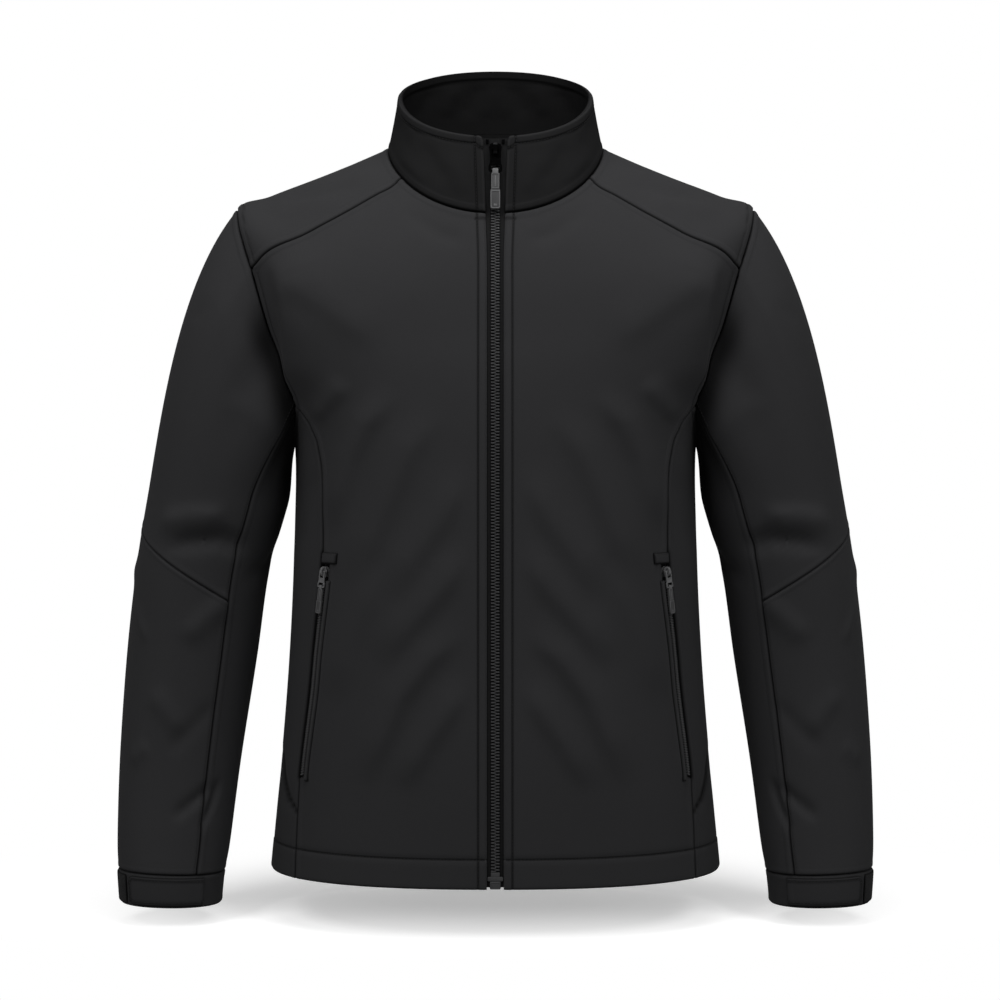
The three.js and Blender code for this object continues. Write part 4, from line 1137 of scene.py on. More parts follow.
@dataclass
class TorsoPanels:
    """The fronts, sides, yokes and back, cut and sewn."""

    side_rows: tuple[float, ...] = (POCKET.low, POCKET.high)
    shells: dict[str, Shell] = field(default_factory=dict)
    borders: dict[str, dict[str, Border]] = field(default_factory=dict)

    def shape(self) -> None:
        """Works out every panel of the viewer's right half, and the back."""
        self._front()
        self._side()
        self._back()
        self._yoke()

    def _keep(self, kind: str, shell: Shell, marks: dict[str, Border]) -> None:
        """Sews a panel's borders, each in the way that its name calls for, and keeps the panel.

        Args:
            kind: the panel's name.
            shell: the panel.
            marks: its borders by name.
        """
        shell.sew({border: TORSO_SEAMS.get(name.split("_")[0], PLAIN_SEAM) for name, border in marks.items()})
        self.shells[kind], self.borders[kind] = shell, marks

    def _front(self) -> None:
        """The front, from the zip to the side seam, the armhole and the yoke."""
        rim = Rim((("princess_front", False), ("arm_front", False), ("yoke_front", True)), self.side_rows)

        def place(share: Grid, row: Grid) -> tuple[Grid, Grid]:
            """phi and station across the front."""
            phi, s = rim.at(row)
            on_side = row <= rim.ends[1]
            shifted = POCKET.phi(s, -2 * POCKET.slot_half(s))
            phi = np.where(on_side, shifted, phi)
            return mix(front_phi(Torso.table, front_edge_half(s), s), phi, share), s

        shell = torso_shell(place, rim.rows, near=True, far=True)
        marks = {"placket": Border(Edge.LEFT), "hem": Border(Edge.FIRST), "neck": Border(Edge.LAST)}
        marks |= {name: rim.stretch(Edge.RIGHT, i) for i, name in enumerate(("side", "armhole", "yoke"))}
        self._keep("front", shell, marks)
        shell.score(PLACKET_BAR, 0.5, 0.9)

    def _side(self) -> None:
        """The side panel, under the arm, between the front's and the back's side seams."""
        front, back, under = (SEAMS[n] for n in ("princess_front", "princess_back", "arm_under"))
        top = float(front.s[-1])
        rim = Rim((("princess_front", False),), self.side_rows)
        ends = [float(v[i]) for i in (0, -1) for v in (under.phi, under.s)]

        def place(share: Grid, row: Grid) -> tuple[Grid, Grid]:
            """phi and station across the side."""
            front_s = rim.at(row)[1]
            rise = front_s / top
            back_s = rise * float(back.s[-1])
            start = front.phi_at(front_s)
            under_phi, under_s = under.at(share)
            sag = (under_s - mix(ends[1], ends[3], share)) * rise**3
            lean = (under_phi - mix(ends[0], ends[2], share)) * rise**3
            return mix(start, back.phi_at(back_s), share) + lean, mix(front_s, back_s, share) + sag

        shell = torso_shell(place, rim.rows, near=True, far=True)
        marks = {"front": Border(Edge.LEFT), "back": Border(Edge.RIGHT), "hem": Border(Edge.FIRST),
                 "armhole": Border(Edge.LAST)}
        # Painted shade on the side panel's front under the arm, where the sleeve shades it.
        deep = fold_heights(SIDE_SHADOWS, shell.base[..., 0], shell.base[..., 2])
        shell.shade = np.where(shell.base[..., 1] < 0, np.clip(deep, 0, 0.9), 0.0)
        heights = rim.at(rim.rows)[1]
        first, last = (int(np.searchsorted(heights, s)) for s in (POCKET.low, POCKET.high))
        marks["pocket"] = Border(Edge.LEFT, first, last)
        self._keep("side", shell, marks)
        shell.score(SIDE_CURVE, 0.6, 2.0)

    def _back(self) -> None:
        """The back, whole from side to side."""
        rim = Rim((("princess_back", False), ("arm_back", True), ("yoke_back", True)))

        def place(share: Grid, row: Grid) -> tuple[Grid, Grid]:
            """phi and station across the back."""
            phi, s = rim.at(row)
            return mix(phi, 180 - phi, share), s

        shell = torso_shell(place, rim.rows, near=True, far=True)
        marks = {"hem": Border(Edge.FIRST), "neck": Border(Edge.LAST)}
        for mark, edge in (("r", Edge.LEFT), ("l", Edge.RIGHT)):
            for number, name in enumerate(("side", "armhole", "yoke")):
                marks[f"{name}_{mark}"] = rim.stretch(edge, number)
        self._keep("back", shell, marks)

    def _yoke(self) -> None:
        """The yoke over the shoulder, from the neck to the armhole."""
        front, back, top = (SEAMS[n] for n in ("yoke_front", "yoke_back", "arm_top"))
        rows = spread(front.length, near=True, far=True)
        ends = [float(v[i]) for i in (0, -1) for v in (top.phi, top.s)]

        def place(share: Grid, row: Grid) -> tuple[Grid, Grid]:
            """phi and station across the yoke."""
            along = np.clip(row / front.length, 0, 1)
            front_phi_here, front_s = front.at(along)
            back_phi_here, back_s = back.at(along)
            top_phi, top_s = top.at(share)
            lift = (top_s - mix(ends[1], ends[3], share)) * along**2
            lean = (top_phi - mix(ends[0], ends[2], share)) * along**2
            return mix(front_phi_here, back_phi_here, share) + lean, mix(front_s, back_s, share) + lift

        shell = torso_shell(place, rows, near=True, far=True)
        marks = {"front": Border(Edge.LEFT), "back": Border(Edge.RIGHT), "neck": Border(Edge.FIRST),
                 "armhole": Border(Edge.LAST)}
        self._keep("yoke", shell, marks)

    def dress(self, cloth: bpy.types.Material) -> None:
        for kind in ("front", "side", "yoke"):
            add_pair(f"{kind}_panel", self.shells[kind], cloth, kind)
        add_cloth("back_panel", self.shells["back"], cloth, ["back"])


@dataclass
class Collar:
    """The stand collar: an outer layer, and an inner one that faces the neck."""

    corner: float = 4.0
    tuck: float = 0.14
    inner_edge: float = 9.5
    inner_wall: float = 1.2
    inner_drop: float = WALL + LAYER_GAP + 0.3
    drop_scale: float = 35.0
    band: float = 7.6
    band_step: float = 0.5
    band_groove: float = 0.9
    height: float = 76.0
    row_step: float = 3.5
    shells: dict[str, Shell] = field(default_factory=dict)

    def _grid(self, extra: float, rows: Grid, shares: Grid) -> tuple[Grid, Grid]:
        """phi and station of the viewer's right half.

        Args:
            extra: how far the front edge is set back.
            rows: phi along the neck seam, from the front edge to the centre back.
            shares: shares of the collar's height.

        Returns:
            phi and station, rows by columns.
        """
        s = np.broadcast_to(shares * COLLAR_TOP, (len(rows), len(shares)))
        start = front_phi(StandCollar.table, front_edge_half(NECK + s) + extra, s)
        low = rows[0]
        phi = np.where(rows[:, None] <= 0, mix(start, 0.0, (rows[:, None] - low) / (0 - low)), rows[:, None])
        edge = StandCollar.skin(phi, s)[..., 0] - front_edge_half(NECK + s) - extra
        short = np.clip(self.corner - np.abs(edge), 0, self.corner)
        drop = np.where(phi < 0, self.corner - np.sqrt(self.corner**2 - short**2), 0.0)
        return phi, s - (shares**3) * drop / self.drop_scale

    def _half_rows(self) -> Grid:
        """phi along the neck seam at even millimetres, crowded at the front edge."""
        start = float(front_phi(Torso.table, front_edge_half(NECK), NECK))
        fine = np.linspace(start, 90.0, 400)
        arc = lengths_along(StandCollar.skin(fine, np.zeros_like(fine)))
        extra = (self.corner * 0.5, self.corner, self.band)
        places = spread(float(arc[-1]), near=True, far=False, extra=extra, step=self.row_step)
        return np.interp(places, arc, fine)

    def _whole(self, extra: float) -> Shell:
        """Both halves as one grid."""
        shares = spread(self.height, near=True, far=True, step=self.row_step) / self.height
        if extra:
            shares = np.concatenate([[-self.tuck / COLLAR_TOP], shares])
        phi, s = self._grid(extra, self._half_rows(), shares)
        halves = (StandCollar.skin(phi, s), StandCollar.away(phi, s))
        return Shell(*(np.concatenate([half, half[-2::-1] * MIRROR]) for half in halves))

    def shape(self) -> None:
        """Works out both layers."""
        outer = self._whole(0.0)
        outer.sew({Border(Edge.FIRST): COLLAR_EDGE, Border(Edge.LAST): COLLAR_EDGE,
                   Border(Edge.RIGHT): COLLAR_EDGE, Border(Edge.LEFT): PLAIN_SEAM})
        inner = self._whole(self.inner_edge)
        band = inner.distance(Border(Edge.RIGHT))
        step = self.band_step * smooth((band - self.band) / 0.8)
        seam = self.band_groove * np.exp(-(((band - self.band) / 0.9) ** 2))
        inner.outer = inner.outer - inner.away * (self.inner_drop - step - seam)[..., None]
        # Painted shade along the groove of the inner layer's band seam.
        inner.shade = 0.95 * np.exp(-(((band - self.band) / 0.9) ** 2))
        inner.wall = self.inner_wall
        self.shells = {"outer": outer, "inner": inner}

    def dress(self, outer: bpy.types.Material, inner: bpy.types.Material) -> None:
        """Builds both layers."""
        add_cloth("collar_outside", self.shells["outer"], outer, ["collar_outer"])
        add_cloth("collar_inside", self.shells["inner"], inner, ["collar_inner"])


@dataclass
class SleevePair:
    """The two-piece sleeves with their elbow seams and cuff bands."""

    cuff_columns: int = 84
    shells: dict[str, Shell] = field(default_factory=dict)

    def _shell(self, first: float, last: float, low: Callable[[Grid], Grid], high: Callable[[Grid], Grid],
               wrap: bool = False) -> Shell:
        """A panel between two places round the arm and two down it.

        Args:
            first: k of the first column.
            last: k of the last column.
            low: v of the first row at each k.
            high: v of the last row at each k.
            wrap: True for a closed band.

        Returns:
            The shell.
        """
        middle = np.full(200, (first + last) / 2)
        share = np.linspace(0, 1, 200)
        arc = lengths_along(Sleeve.plain(middle, mix(low(middle), high(middle), share)))
        rows = spread(float(arc[-1]), near=True, far=True)
        shares = np.interp(rows, arc, share)

        def place(t: Grid, row: Grid) -> Grid:
            """Points from shares round and down."""
            k = mix(first, last, t)
            return Sleeve.plain(k, mix(low(k), high(k), row))

        if wrap:
            round_cuff = np.arange(self.cuff_columns) / self.cuff_columns
            across = np.broadcast_to(round_cuff, (len(shares), self.cuff_columns))
        else:
            across = even_columns(place, shares, near=True, far=True)
        k = mix(first, last, across)
        v = mix(low(k), high(k), shares[:, None])
        shell = Shell(Sleeve.skin(k, v), Sleeve.away(k, v), wrap)
        if not wrap:
            # Painted shade in the trough between the sleeve's front and the chest, and towards its inner
            # side.
            turned = np.broadcast_to(Armhole.turn(k), shell.shade.shape)
            deep = fold_heights(SLEEVE_SHADOWS, turned, shell.base[..., 2], TURN_MM, 360.0)
            shell.shade = np.clip(deep, 0, 0.9)
        return shell

    def shape(self) -> None:
        """Works out the viewer's right sleeve."""
        under, whole = Armhole.UNDER_START, Armhole.ROUND
        zero, cuff, end = (lambda k, level=level: np.full(np.shape(k), level) for level in
                           (0.0, CUFF_START, SLEEVE_END))
        self.shells["upper"] = self._shell(0, under, zero, Sleeve.elbow)
        self.shells["forearm"] = self._shell(0, under, Sleeve.elbow, cuff)
        self.shells["under"] = self._shell(under, whole, zero, cuff)
        self.shells["cuff"] = self._shell(0, whole, cuff, end, wrap=True)
        front, back, top, foot = Border(Edge.LEFT), Border(Edge.RIGHT), Border(Edge.FIRST), Border(Edge.LAST)
        self.shells["upper"].sew({front: SLEEVE_SEAM, back: SLEEVE_SEAM, top: PLAIN_SEAM, foot: ELBOW_SEAM})
        self.shells["forearm"].sew({front: SLEEVE_SEAM, back: SLEEVE_SEAM, top: ELBOW_SEAM, foot: CUFF_EDGE})
        self.shells["under"].sew({front: PLAIN_SEAM, back: PLAIN_SEAM, top: PLAIN_SEAM, foot: CUFF_EDGE})
        self.shells["cuff"].sew({top: CUFF_EDGE, foot: CUFF_EDGE})

    def dress(self, cloth: bpy.types.Material) -> None:
        nodes = {kind: f"sleeve_{kind}" for kind in ("upper", "forearm", "under")} | {"cuff": "cuff"}
        for kind, node in nodes.items():
            add_pair(f"{kind}_sleeve", self.shells[kind], cloth, node)


class Loft:
    """Small frames on the garment: where each stitch, tooth or fitting sits."""

    STEP = 0.4

    def __init__(self, points: Grid, ways: Grid) -> None:
        """Args:
        points: a line of points in millimetres.
        ways: the outward direction at each.
        """
        self.points, self.ways = points, unit(ways)
        self.arc = lengths_along(points)

    def frames(self, places: Grid) -> tuple[Grid, Grid]:
        """Origins and axes at millimetres along the line.

        Args:
            places: millimetres from its start.

        Returns:
            Origins, and matrices whose rows are the way across, along and out.
        """
        ahead, behind = (self._read(self.points, places + step) for step in (self.STEP, -self.STEP))
        along = unit(ahead - behind)
        out = self._read(self.ways, places)
        out = unit(out - along * np.sum(out * along, -1, keepdims=True))
        return self._read(self.points, places), np.stack([np.cross(along, out), along, out], 1)

    def _read(self, values: Grid, places: Grid) -> Grid:
        """Values at millimetres along the line."""
        return np.stack([np.interp(places, self.arc, values[:, c]) for c in range(3)], -1)


@dataclass(frozen=True)
class Pattern:
    """A small closed form that is repeated: its points and its faces."""

    verts: Grid
    faces: tuple[tuple[int, ...], ...]

    def flipped(self) -> "Pattern":
        """The form mirrored across its first axis."""
        return Pattern(self.verts * MIRROR, tuple(face[::-1] for face in self.faces))

    def repeat(self, origins: Grid, axes: Grid) -> "Pattern":
        """Copies of the form.

        Args:
            origins: where each copy sits, in millimetres.
            axes: each copy's axes, as rows.

        Returns:
            All the copies as one form.
        """
        points = origins[:, None] + np.einsum("vk,nkc->nvc", self.verts, axes)
        count = len(self.verts)
        faces = tuple(tuple(v + count * n for v in face) for n in range(len(origins)) for face in self.faces)
        return Pattern(points.reshape(-1, 3), faces)

    def make(self, name: str, material: bpy.types.Material, angle: float = 35.0,
             shade: Grid | None = None) -> bpy.types.Object:
        """The form as a piece in the scene, with the finish and the crisp edges that are asked for."""
        return make_mesh(name, self.verts * MM, self.faces, material, angle=angle, shade=shade)


def join_patterns(patterns: Sequence[Pattern]) -> Pattern:
    """Several forms as one."""
    verts, faces, base = [], [], 0
    for pattern in patterns:
        verts.append(pattern.verts)
        faces.extend(tuple(v + base for v in face) for face in pattern.faces)
        base += len(pattern.verts)
    return Pattern(np.concatenate(verts), tuple(faces))


def band_faces(low: int, high: int, count: int) -> list[tuple[int, ...]]:
    """Faces between two rings of points, from the number of each ring's first point."""
    return [(low + i, low + (i + 1) % count, high + (i + 1) % count, high + i) for i in range(count)]


def rings_pattern(rings: Sequence[Grid]) -> Pattern:
    """A closed form through rings with the same number of points.

    Args:
        rings: the rings, in order, each anticlockwise seen from the last one.

    Returns:
        The form.
    """
    count = len(rings[0])
    faces: list[tuple[int, ...]] = [tuple(range(count))[::-1]]
    for level in range(len(rings) - 1):
        faces += band_faces(level * count, (level + 1) * count, count)
    top = (len(rings) - 1) * count
    faces.append(tuple(range(top, top + count)))
    return Pattern(np.concatenate(rings), tuple(faces))


def inset(outline: Grid, distance: float) -> Grid:
    """An anticlockwise outline moved inwards by a distance."""
    before = unit(outline - np.roll(outline, 1, axis=0))
    after = unit(np.roll(outline, -1, axis=0) - outline)
    left = unit(np.stack([-(before + after)[:, 1], (before + after)[:, 0]], -1))
    turn = np.sum(left * np.stack([-after[:, 1], after[:, 0]], -1), -1, keepdims=True)
    return outline + left * distance / np.maximum(turn, 0.35)


def pressed_plate(outline: Sequence[tuple[float, float]], low: float, high: float,
                  round_off: float) -> Pattern:
    """A plate with eased edges.

    Args:
        outline: its anticlockwise outline.
        low: its lower face.
        high: its upper face.
        round_off: how far its edges are eased.

    Returns:
        The form.
    """
    flat = np.array(outline, float)
    levels = ((low, 1.0), (low + round_off, 0.0), (high - round_off, 0.0), (high - round_off * 0.3, 0.3),
              (high, 1.0))
    rings = [np.column_stack([inset(flat, share * round_off), np.full(len(flat), z)]) for z, share in levels]
    return rings_pattern(rings)


@dataclass
class Sewing:
    """Runs of thread, kept as arrays and joined into a few pieces."""

    pitch: float = 3.2
    length: float = 2.5
    radius: float = 0.24
    sides: int = 6
    lift: float = 0.08
    sections: tuple[tuple[float, float, float], ...] = (
        (-1, 0.45, -0.42), (-0.72, 0.95, -0.06), (0.72, 0.95, -0.06), (1, 0.45, -0.42),
    )
    runs: dict[str, list[tuple[Grid, Grid]]] = field(default_factory=dict)

    def add(self, group: str, line: tuple[Grid, Grid], both: bool = True) -> None:
        """Adds a run.

        Args:
            group: the piece that it is joined into.
            line: points and outward directions.
            both: True to add its mirror image too.
        """
        points, ways = line
        if len(points) < 2:
            return
        self.runs.setdefault(group, []).append((points, ways))
        if both:
            self.runs[group].append((points * MIRROR, ways * MIRROR))

    def _stitch(self) -> Pattern:
        """One stitch: a short length of thread whose ends go down into the cloth."""
        turns = np.linspace(0, 2 * math.pi, self.sides, endpoint=False)
        rings = []
        for share, size, sink in self.sections:
            radius, along = self.radius * size, np.full(self.sides, share * self.length / 2)
            rings.append(np.column_stack([radius * np.sin(turns), along, radius * np.cos(turns) + sink]))
        return rings_pattern(rings)

    def build(self, material: bpy.types.Material) -> None:
        """Makes one piece for each group."""
        stitch = self._stitch()
        for group, runs in self.runs.items():
            sewn = []
            for points, ways in runs:
                loft = Loft(points, ways)
                count = int(loft.arc[-1] // self.pitch)
                if count < 2:
                    continue
                start = (loft.arc[-1] - (count - 1) * self.pitch) / 2
                origins, axes = loft.frames(start + np.arange(count) * self.pitch)
                sewn.append(stitch.repeat(origins + axes[:, 2] * self.lift, axes))
            thread = join_patterns(sewn)
            settle(thread.make(group, material, angle=60), "shell_cloth")
            LOG.info("%s: %d faces of thread", group, len(thread.faces))


def zip_line(path: Grid, x: Grid) -> tuple[Grid, Grid]:
    """Points and outward directions beside the centre front.

    Args:
        path: station up the torso to 10, then on up the collar to 12.
        x: distance from the middle, in millimetres, at least a little.

    Returns:
        Points and directions on the viewer's right half.
    """
    path, x = np.broadcast_arrays(np.asarray(path, float), np.asarray(x, float))
    low, up = np.minimum(path, NECK), np.clip(path - NECK, 0, COLLAR_TOP)
    torso_phi, collar_phi = front_phi(Torso.table, x, low), front_phi(StandCollar.table, x, up)
    on_torso = (path <= NECK)[..., None]
    points = np.where(on_torso, Torso.skin(torso_phi, low), StandCollar.skin(collar_phi, up))
    ways = np.where(on_torso, Torso.away(torso_phi, low), StandCollar.away(collar_phi, up))
    return points, ways


def ease_rows(ways: Grid, rounds: int = 3) -> Grid:
    """Outward directions smoothed from row to row."""
    for _ in range(rounds):
        inside = (ways[:-2] + 2 * ways[1:-1] + ways[2:]) / 4
        ways = unit(np.concatenate([ways[:1], inside, ways[-1:]]))
    return ways


def frame_on(origin: Grid, up: Grid, out: Grid) -> tuple[Grid, Grid]:
    """One frame as the arrays that a pattern is repeated by."""
    out = unit(out)
    up = unit(up - out * (up @ out))
    return origin[None], np.stack([np.cross(up, out), up, out])[None]


def zip_teeth(loft: Loft, tooth: Pattern, pitch: float, margin: float) -> Pattern:
    """Two rows of teeth that reach between each other.

    Args:
        loft: the middle of the zip.
        tooth: one tooth of the viewer's right row.
        pitch: millimetres between the teeth of a row.
        margin: millimetres left free at each end.

    Returns:
        All the teeth as one form.
    """
    rows = []
    for pattern, shift in ((tooth, 0.0), (tooth.flipped(), pitch / 2)):
        rows.append(pattern.repeat(*loft.frames(np.arange(shift + margin, loft.arc[-1] - margin, pitch))))
    return join_patterns(rows)


@dataclass
class MainZip:
    """The centre front zip: tapes and moulded teeth."""

    tape_from: float = 0.02
    tape_across: tuple[float, ...] = (0, 2.4, 3.1, 3.6, 4.0, 4.5, 5.3, 6.5, 8.0, 10.0, 12.0, 14.5, 17.1)
    tape_length: float = 720.0
    tape_depth: float = 2.3
    tape_wall: float = 1.0
    bead: float = 0.7
    bead_at: float = 4.4
    end_margin: float = 1.0
    low: float = 0.02
    high: float = 11.95
    teeth_low: float = 0.14
    teeth_high: float = 11.6
    pitch: float = 2.8
    tooth_front: float = -0.75
    tooth_back: float = -3.3

    def _tape(self) -> Shell:
        """The tape on the viewer's right."""
        rows = spread(self.tape_length, near=False, far=False) / self.tape_length
        rows = self.low + (self.high - self.low) * rows
        across = np.array(self.tape_across) + self.tape_from
        points, ways = zip_line(rows[:, None], across[None, :])
        ways = ease_rows(ways)
        shell = Shell(points - ways * self.tape_depth, ways, wall=self.tape_wall)
        bead = self.bead * np.exp(-(((across - self.bead_at) / 0.6) ** 2))
        shell.outer = shell.outer + shell.away * bead[None, :, None]
        return shell

    def _tooth(self) -> Pattern:
        """One moulded tooth, for the viewer's right side."""
        outline = ((-0.65, 0.34), (-0.65, -0.34), (0.5, -0.5), (0.95, -0.66), (3.45, -0.66), (3.7, -0.4),
                   (3.7, 0.4), (3.45, 0.66), (0.95, 0.66), (0.5, 0.5))
        return pressed_plate(outline, self.tooth_back, self.tooth_front, 0.22)

    def dress(self, tape: bpy.types.Material, moulded: bpy.types.Material) -> None:
        """Builds the tapes and the teeth."""
        add_pair("zip_tape_cloth", self._tape(), tape, "zip_tape", "tape_cloth")
        points, ways = zip_line(np.linspace(self.teeth_low, self.teeth_high, 700), NEAR_MIDDLE)
        loft = Loft(points * MIDDLE, ease_rows(ways * MIDDLE, 12))
        teeth = zip_teeth(loft, self._tooth(), self.pitch, self.end_margin)
        settle(teeth.make("zip_teeth", moulded), "moulded_zip", "zip_chain")
        LOG.info("zip_teeth: %d faces", len(teeth.faces))


@dataclass
class SidePockets:
    """The slanting zipped pockets in the front side seams."""

    tape_low: float = 0.88
    tape_high: float = 2.97
    tape_across: tuple[float, ...] = (-9.0, -8.5, -6, -4.2, -2.6, -1.2, 0, 1.2, 2.6, 4.2, 6, 8.5, 9.0)
    tape_depth: float = 3.2
    tape_wall: float = 0.9
    bead: float = 0.5
    bead_at: float = 2.9
    welt_low: float = 0.9
    welt_high: float = 2.7
    welt_from: float = -9.2
    welt_across: tuple[float, ...] = (0, 0.3, 0.7, 1.3, 2.2, 3.1, 4.0, 4.7, 5.2, 5.5, 5.8)
    welt_lift: float = 1.6
    welt_wall: float = 1.3
    teeth_low: float = 0.945
    teeth_high: float = 2.71
    pitch: float = 2.3
    teeth_raise: float = 0.9
    teeth_thick: float = 1.3
    end_margin: float = 0.6
    row_mm: float = 99.0
    tab_low: float = 2.85
    tab_high: float = 2.95
    tab_from: float = -14.2
    tab_to: float = 4.0
    tab_lift: float = 2.5
    tab_wall: float = 2.2
    welt: Shell | None = None
    tab: Shell | None = None

    def _strip(self, low: float, high: float, offsets: Grid, step: float, lift: float, wall: float) -> Shell:
        """A strip on the torso beside the side seam.

        Args:
            low: its lowest station.
            high: its highest station.
            offsets: millimetres round from the seam, rising.
            step: millimetres between rows.
            lift: how high its outside lies over the skin.
            wall: its thickness.

        Returns:
            The shell.
        """
        length = (high - low) * self.row_mm
        s = low + (high - low) * spread(length, near=True, far=True, step=step) / length
        s = np.broadcast_to(s[:, None], (len(s), len(offsets)))
        phi = POCKET.zip_phi(s, np.broadcast_to(offsets, s.shape))
        shell = Shell(Torso.skin(phi, s), Torso.away(phi, s), wall=wall)
        shell.outer = shell.outer + shell.away * lift
        return shell

    def shape(self) -> None:
        """Works out the welt and the tab of the viewer's right pocket."""
        across = self.welt_from + np.array(self.welt_across)
        self.welt = self._strip(self.welt_low, self.welt_high, across, 3.0, self.welt_lift, self.welt_wall)
        self.welt.sew({Border(edge): WELT_EDGE for edge in Edge})
        across = self.tab_from + spread(self.tab_to - self.tab_from, near=True, far=True, step=1.2)
        self.tab = self._strip(self.tab_low, self.tab_high, across, 1.2, self.tab_lift, self.tab_wall)
        self.tab.sew({Border(edge): END_TAB_EDGE for edge in Edge})

    def _teeth(self) -> Pattern:
        """The teeth of the viewer's right pocket zip."""
        s = np.linspace(self.teeth_low, self.teeth_high, 240)
        phi = POCKET.zip_phi(s, np.zeros_like(s))
        outline = ((-0.5, 0.26), (-0.5, -0.26), (0.3, -0.46), (1.9, -0.46), (2.1, -0.25), (2.1, 0.25),
                   (1.9, 0.46), (0.3, 0.46))
        tooth = pressed_plate(outline, self.teeth_raise - self.teeth_thick, self.teeth_raise, 0.16)
        return zip_teeth(Loft(Torso.skin(phi, s), Torso.away(phi, s)), tooth, self.pitch, self.end_margin)

    def dress(self, cloth: bpy.types.Material, welt_cloth: bpy.types.Material, tape: bpy.types.Material,
              moulded: bpy.types.Material) -> None:
        """Builds both pockets."""
        across = np.array(self.tape_across)
        back = self._strip(self.tape_low, self.tape_high, across, 4.0, -self.tape_depth, self.tape_wall)
        bead = self.bead * np.exp(-(((np.abs(across) - self.bead_at) / 0.7) ** 2))
        back.outer = back.outer + back.away * bead[None, :, None]
        teeth = self._teeth()
        cloths = (("tape", back, tape, "tape_cloth"), ("welt", self.welt, welt_cloth, "shell_cloth"),
                  ("tab", self.tab, cloth, "shell_cloth"))
        for side in Side:
            right, mark = side is Side.RIGHT, side.mark
            for kind, shell, finish, slot in cloths:
                own = shell if right else shell.mirrored()
                add_cloth(f"pocket_{kind}_cloth_{mark}", own, finish, [f"pocket_{kind}_{mark}"], slot)
            made = (teeth if right else teeth.flipped()).make(f"pocket_teeth_{mark}", moulded)
            settle(made, "moulded_zip", f"pocket_chain_{mark}")


@dataclass
class CuffTabs:
    """The closing tab and the fastening strip on each cuff band."""

    tab_from: float = 6.6
    tab_to: float = -0.7
    low: float = 0.08
    high: float = 0.93
    corner: float = 0.16
    rounding: float = 0.7
    tab_lift: float = 2.1
    tab_wall: float = 1.8
    strip_from: float = 11.6
    strip_to: float = 6.9
    strip_lift: float = 1.3
    strip_wall: float = 1.0
    band_mm: float = 25.0
    tab: Shell | None = None
    strip: Shell | None = None

    def _on_cuff(self, first: float, last: float, rounded: bool, lift: float, wall: float) -> Shell:
        """A shell laid on the cuff band.

        Args:
            first: k of its first end.
            last: k of its last end.
            rounded: True to round the corners of its first end.
            lift: how high its outside lies over the band.
            wall: its thickness.

        Returns:
            The shell.
        """
        k = np.linspace(first, last, 400)
        arc = lengths_along(Sleeve.skin(k, np.full_like(k, 6.5)))
        places = spread(float(arc[-1]), near=True, far=True, step=3.0)
        k = np.interp(places, arc, k)
        end = np.clip(1 - (first - k) / self.rounding, 0, 1) if rounded else np.zeros_like(k)
        pull = self.corner * (1 - np.sqrt(np.maximum(1 - end**2, 0)))
        share = spread(self.band_mm, near=True, far=True, step=2.0) / self.band_mm
        band = mix((self.low + pull)[None, :], (self.high - pull)[None, :], share[:, None])
        grid_k = np.broadcast_to(k, band.shape)
        station = CUFF_START + band
        shell = Shell(Sleeve.skin(grid_k, station), Sleeve.away(grid_k, station), wall=wall)
        shell.outer = shell.outer + shell.away * lift
        return shell

    def shape(self) -> None:
        """Works out the viewer's right cuff's tab and strip."""
        self.tab = self._on_cuff(self.tab_from, self.tab_to, True, self.tab_lift, self.tab_wall)
        self.tab.sew({Border(edge): TAB_EDGE for edge in (Edge.LEFT, Edge.FIRST, Edge.LAST)})
        self.tab.sew({Border(Edge.RIGHT): PLAIN_SEAM})
        self.strip = self._on_cuff(self.strip_from, self.strip_to, False, self.strip_lift, self.strip_wall)
        self.strip.sew({Border(edge): STRIP_EDGE for edge in Edge})

    def dress(self, cloth: bpy.types.Material, pile: bpy.types.Material) -> None:
        """Builds both cuffs' tabs and strips."""
        add_pair("cuff_tab_cloth", self.tab, cloth, "cuff_tab")
        add_pair("cuff_strip_cloth", self.strip, pile, "cuff_strip", "tape_cloth")


def rectangle(half: float, low: float, high: float, corner: float) -> list[tuple[float, float]]:
    """An anticlockwise rectangle about x = 0 with cut corners."""
    return [(half - corner, low), (half, low + corner), (half, high - corner), (half - corner, high),
            (corner - half, high), (-half, high - corner), (-half, low + corner), (corner - half, low)]


def frame_pattern(outline: Sequence[tuple[float, float]], width: float, low: float, high: float) -> Pattern:
    """A raised border along an outline.

    Args:
        outline: its anticlockwise outside.
        width: the border's width.
        low: where it starts.
        high: its top.

    Returns:
        The form, closed round its own section.
    """
    flat = np.array(outline, float)
    ease = min(width, high - low) * 0.3
    section = ((0.0, low), (0.0, high - ease), (ease, high), (width - ease, high), (width, high - ease),
               (width, low))
    rings = [np.column_stack([inset(flat, off), np.full(len(flat), z)]) for off, z in section]
    count, faces = len(flat), []
    for level in range(len(rings)):
        faces += band_faces(level * count, (level + 1) % len(rings) * count, count)
    return Pattern(np.concatenate(rings), tuple(faces))


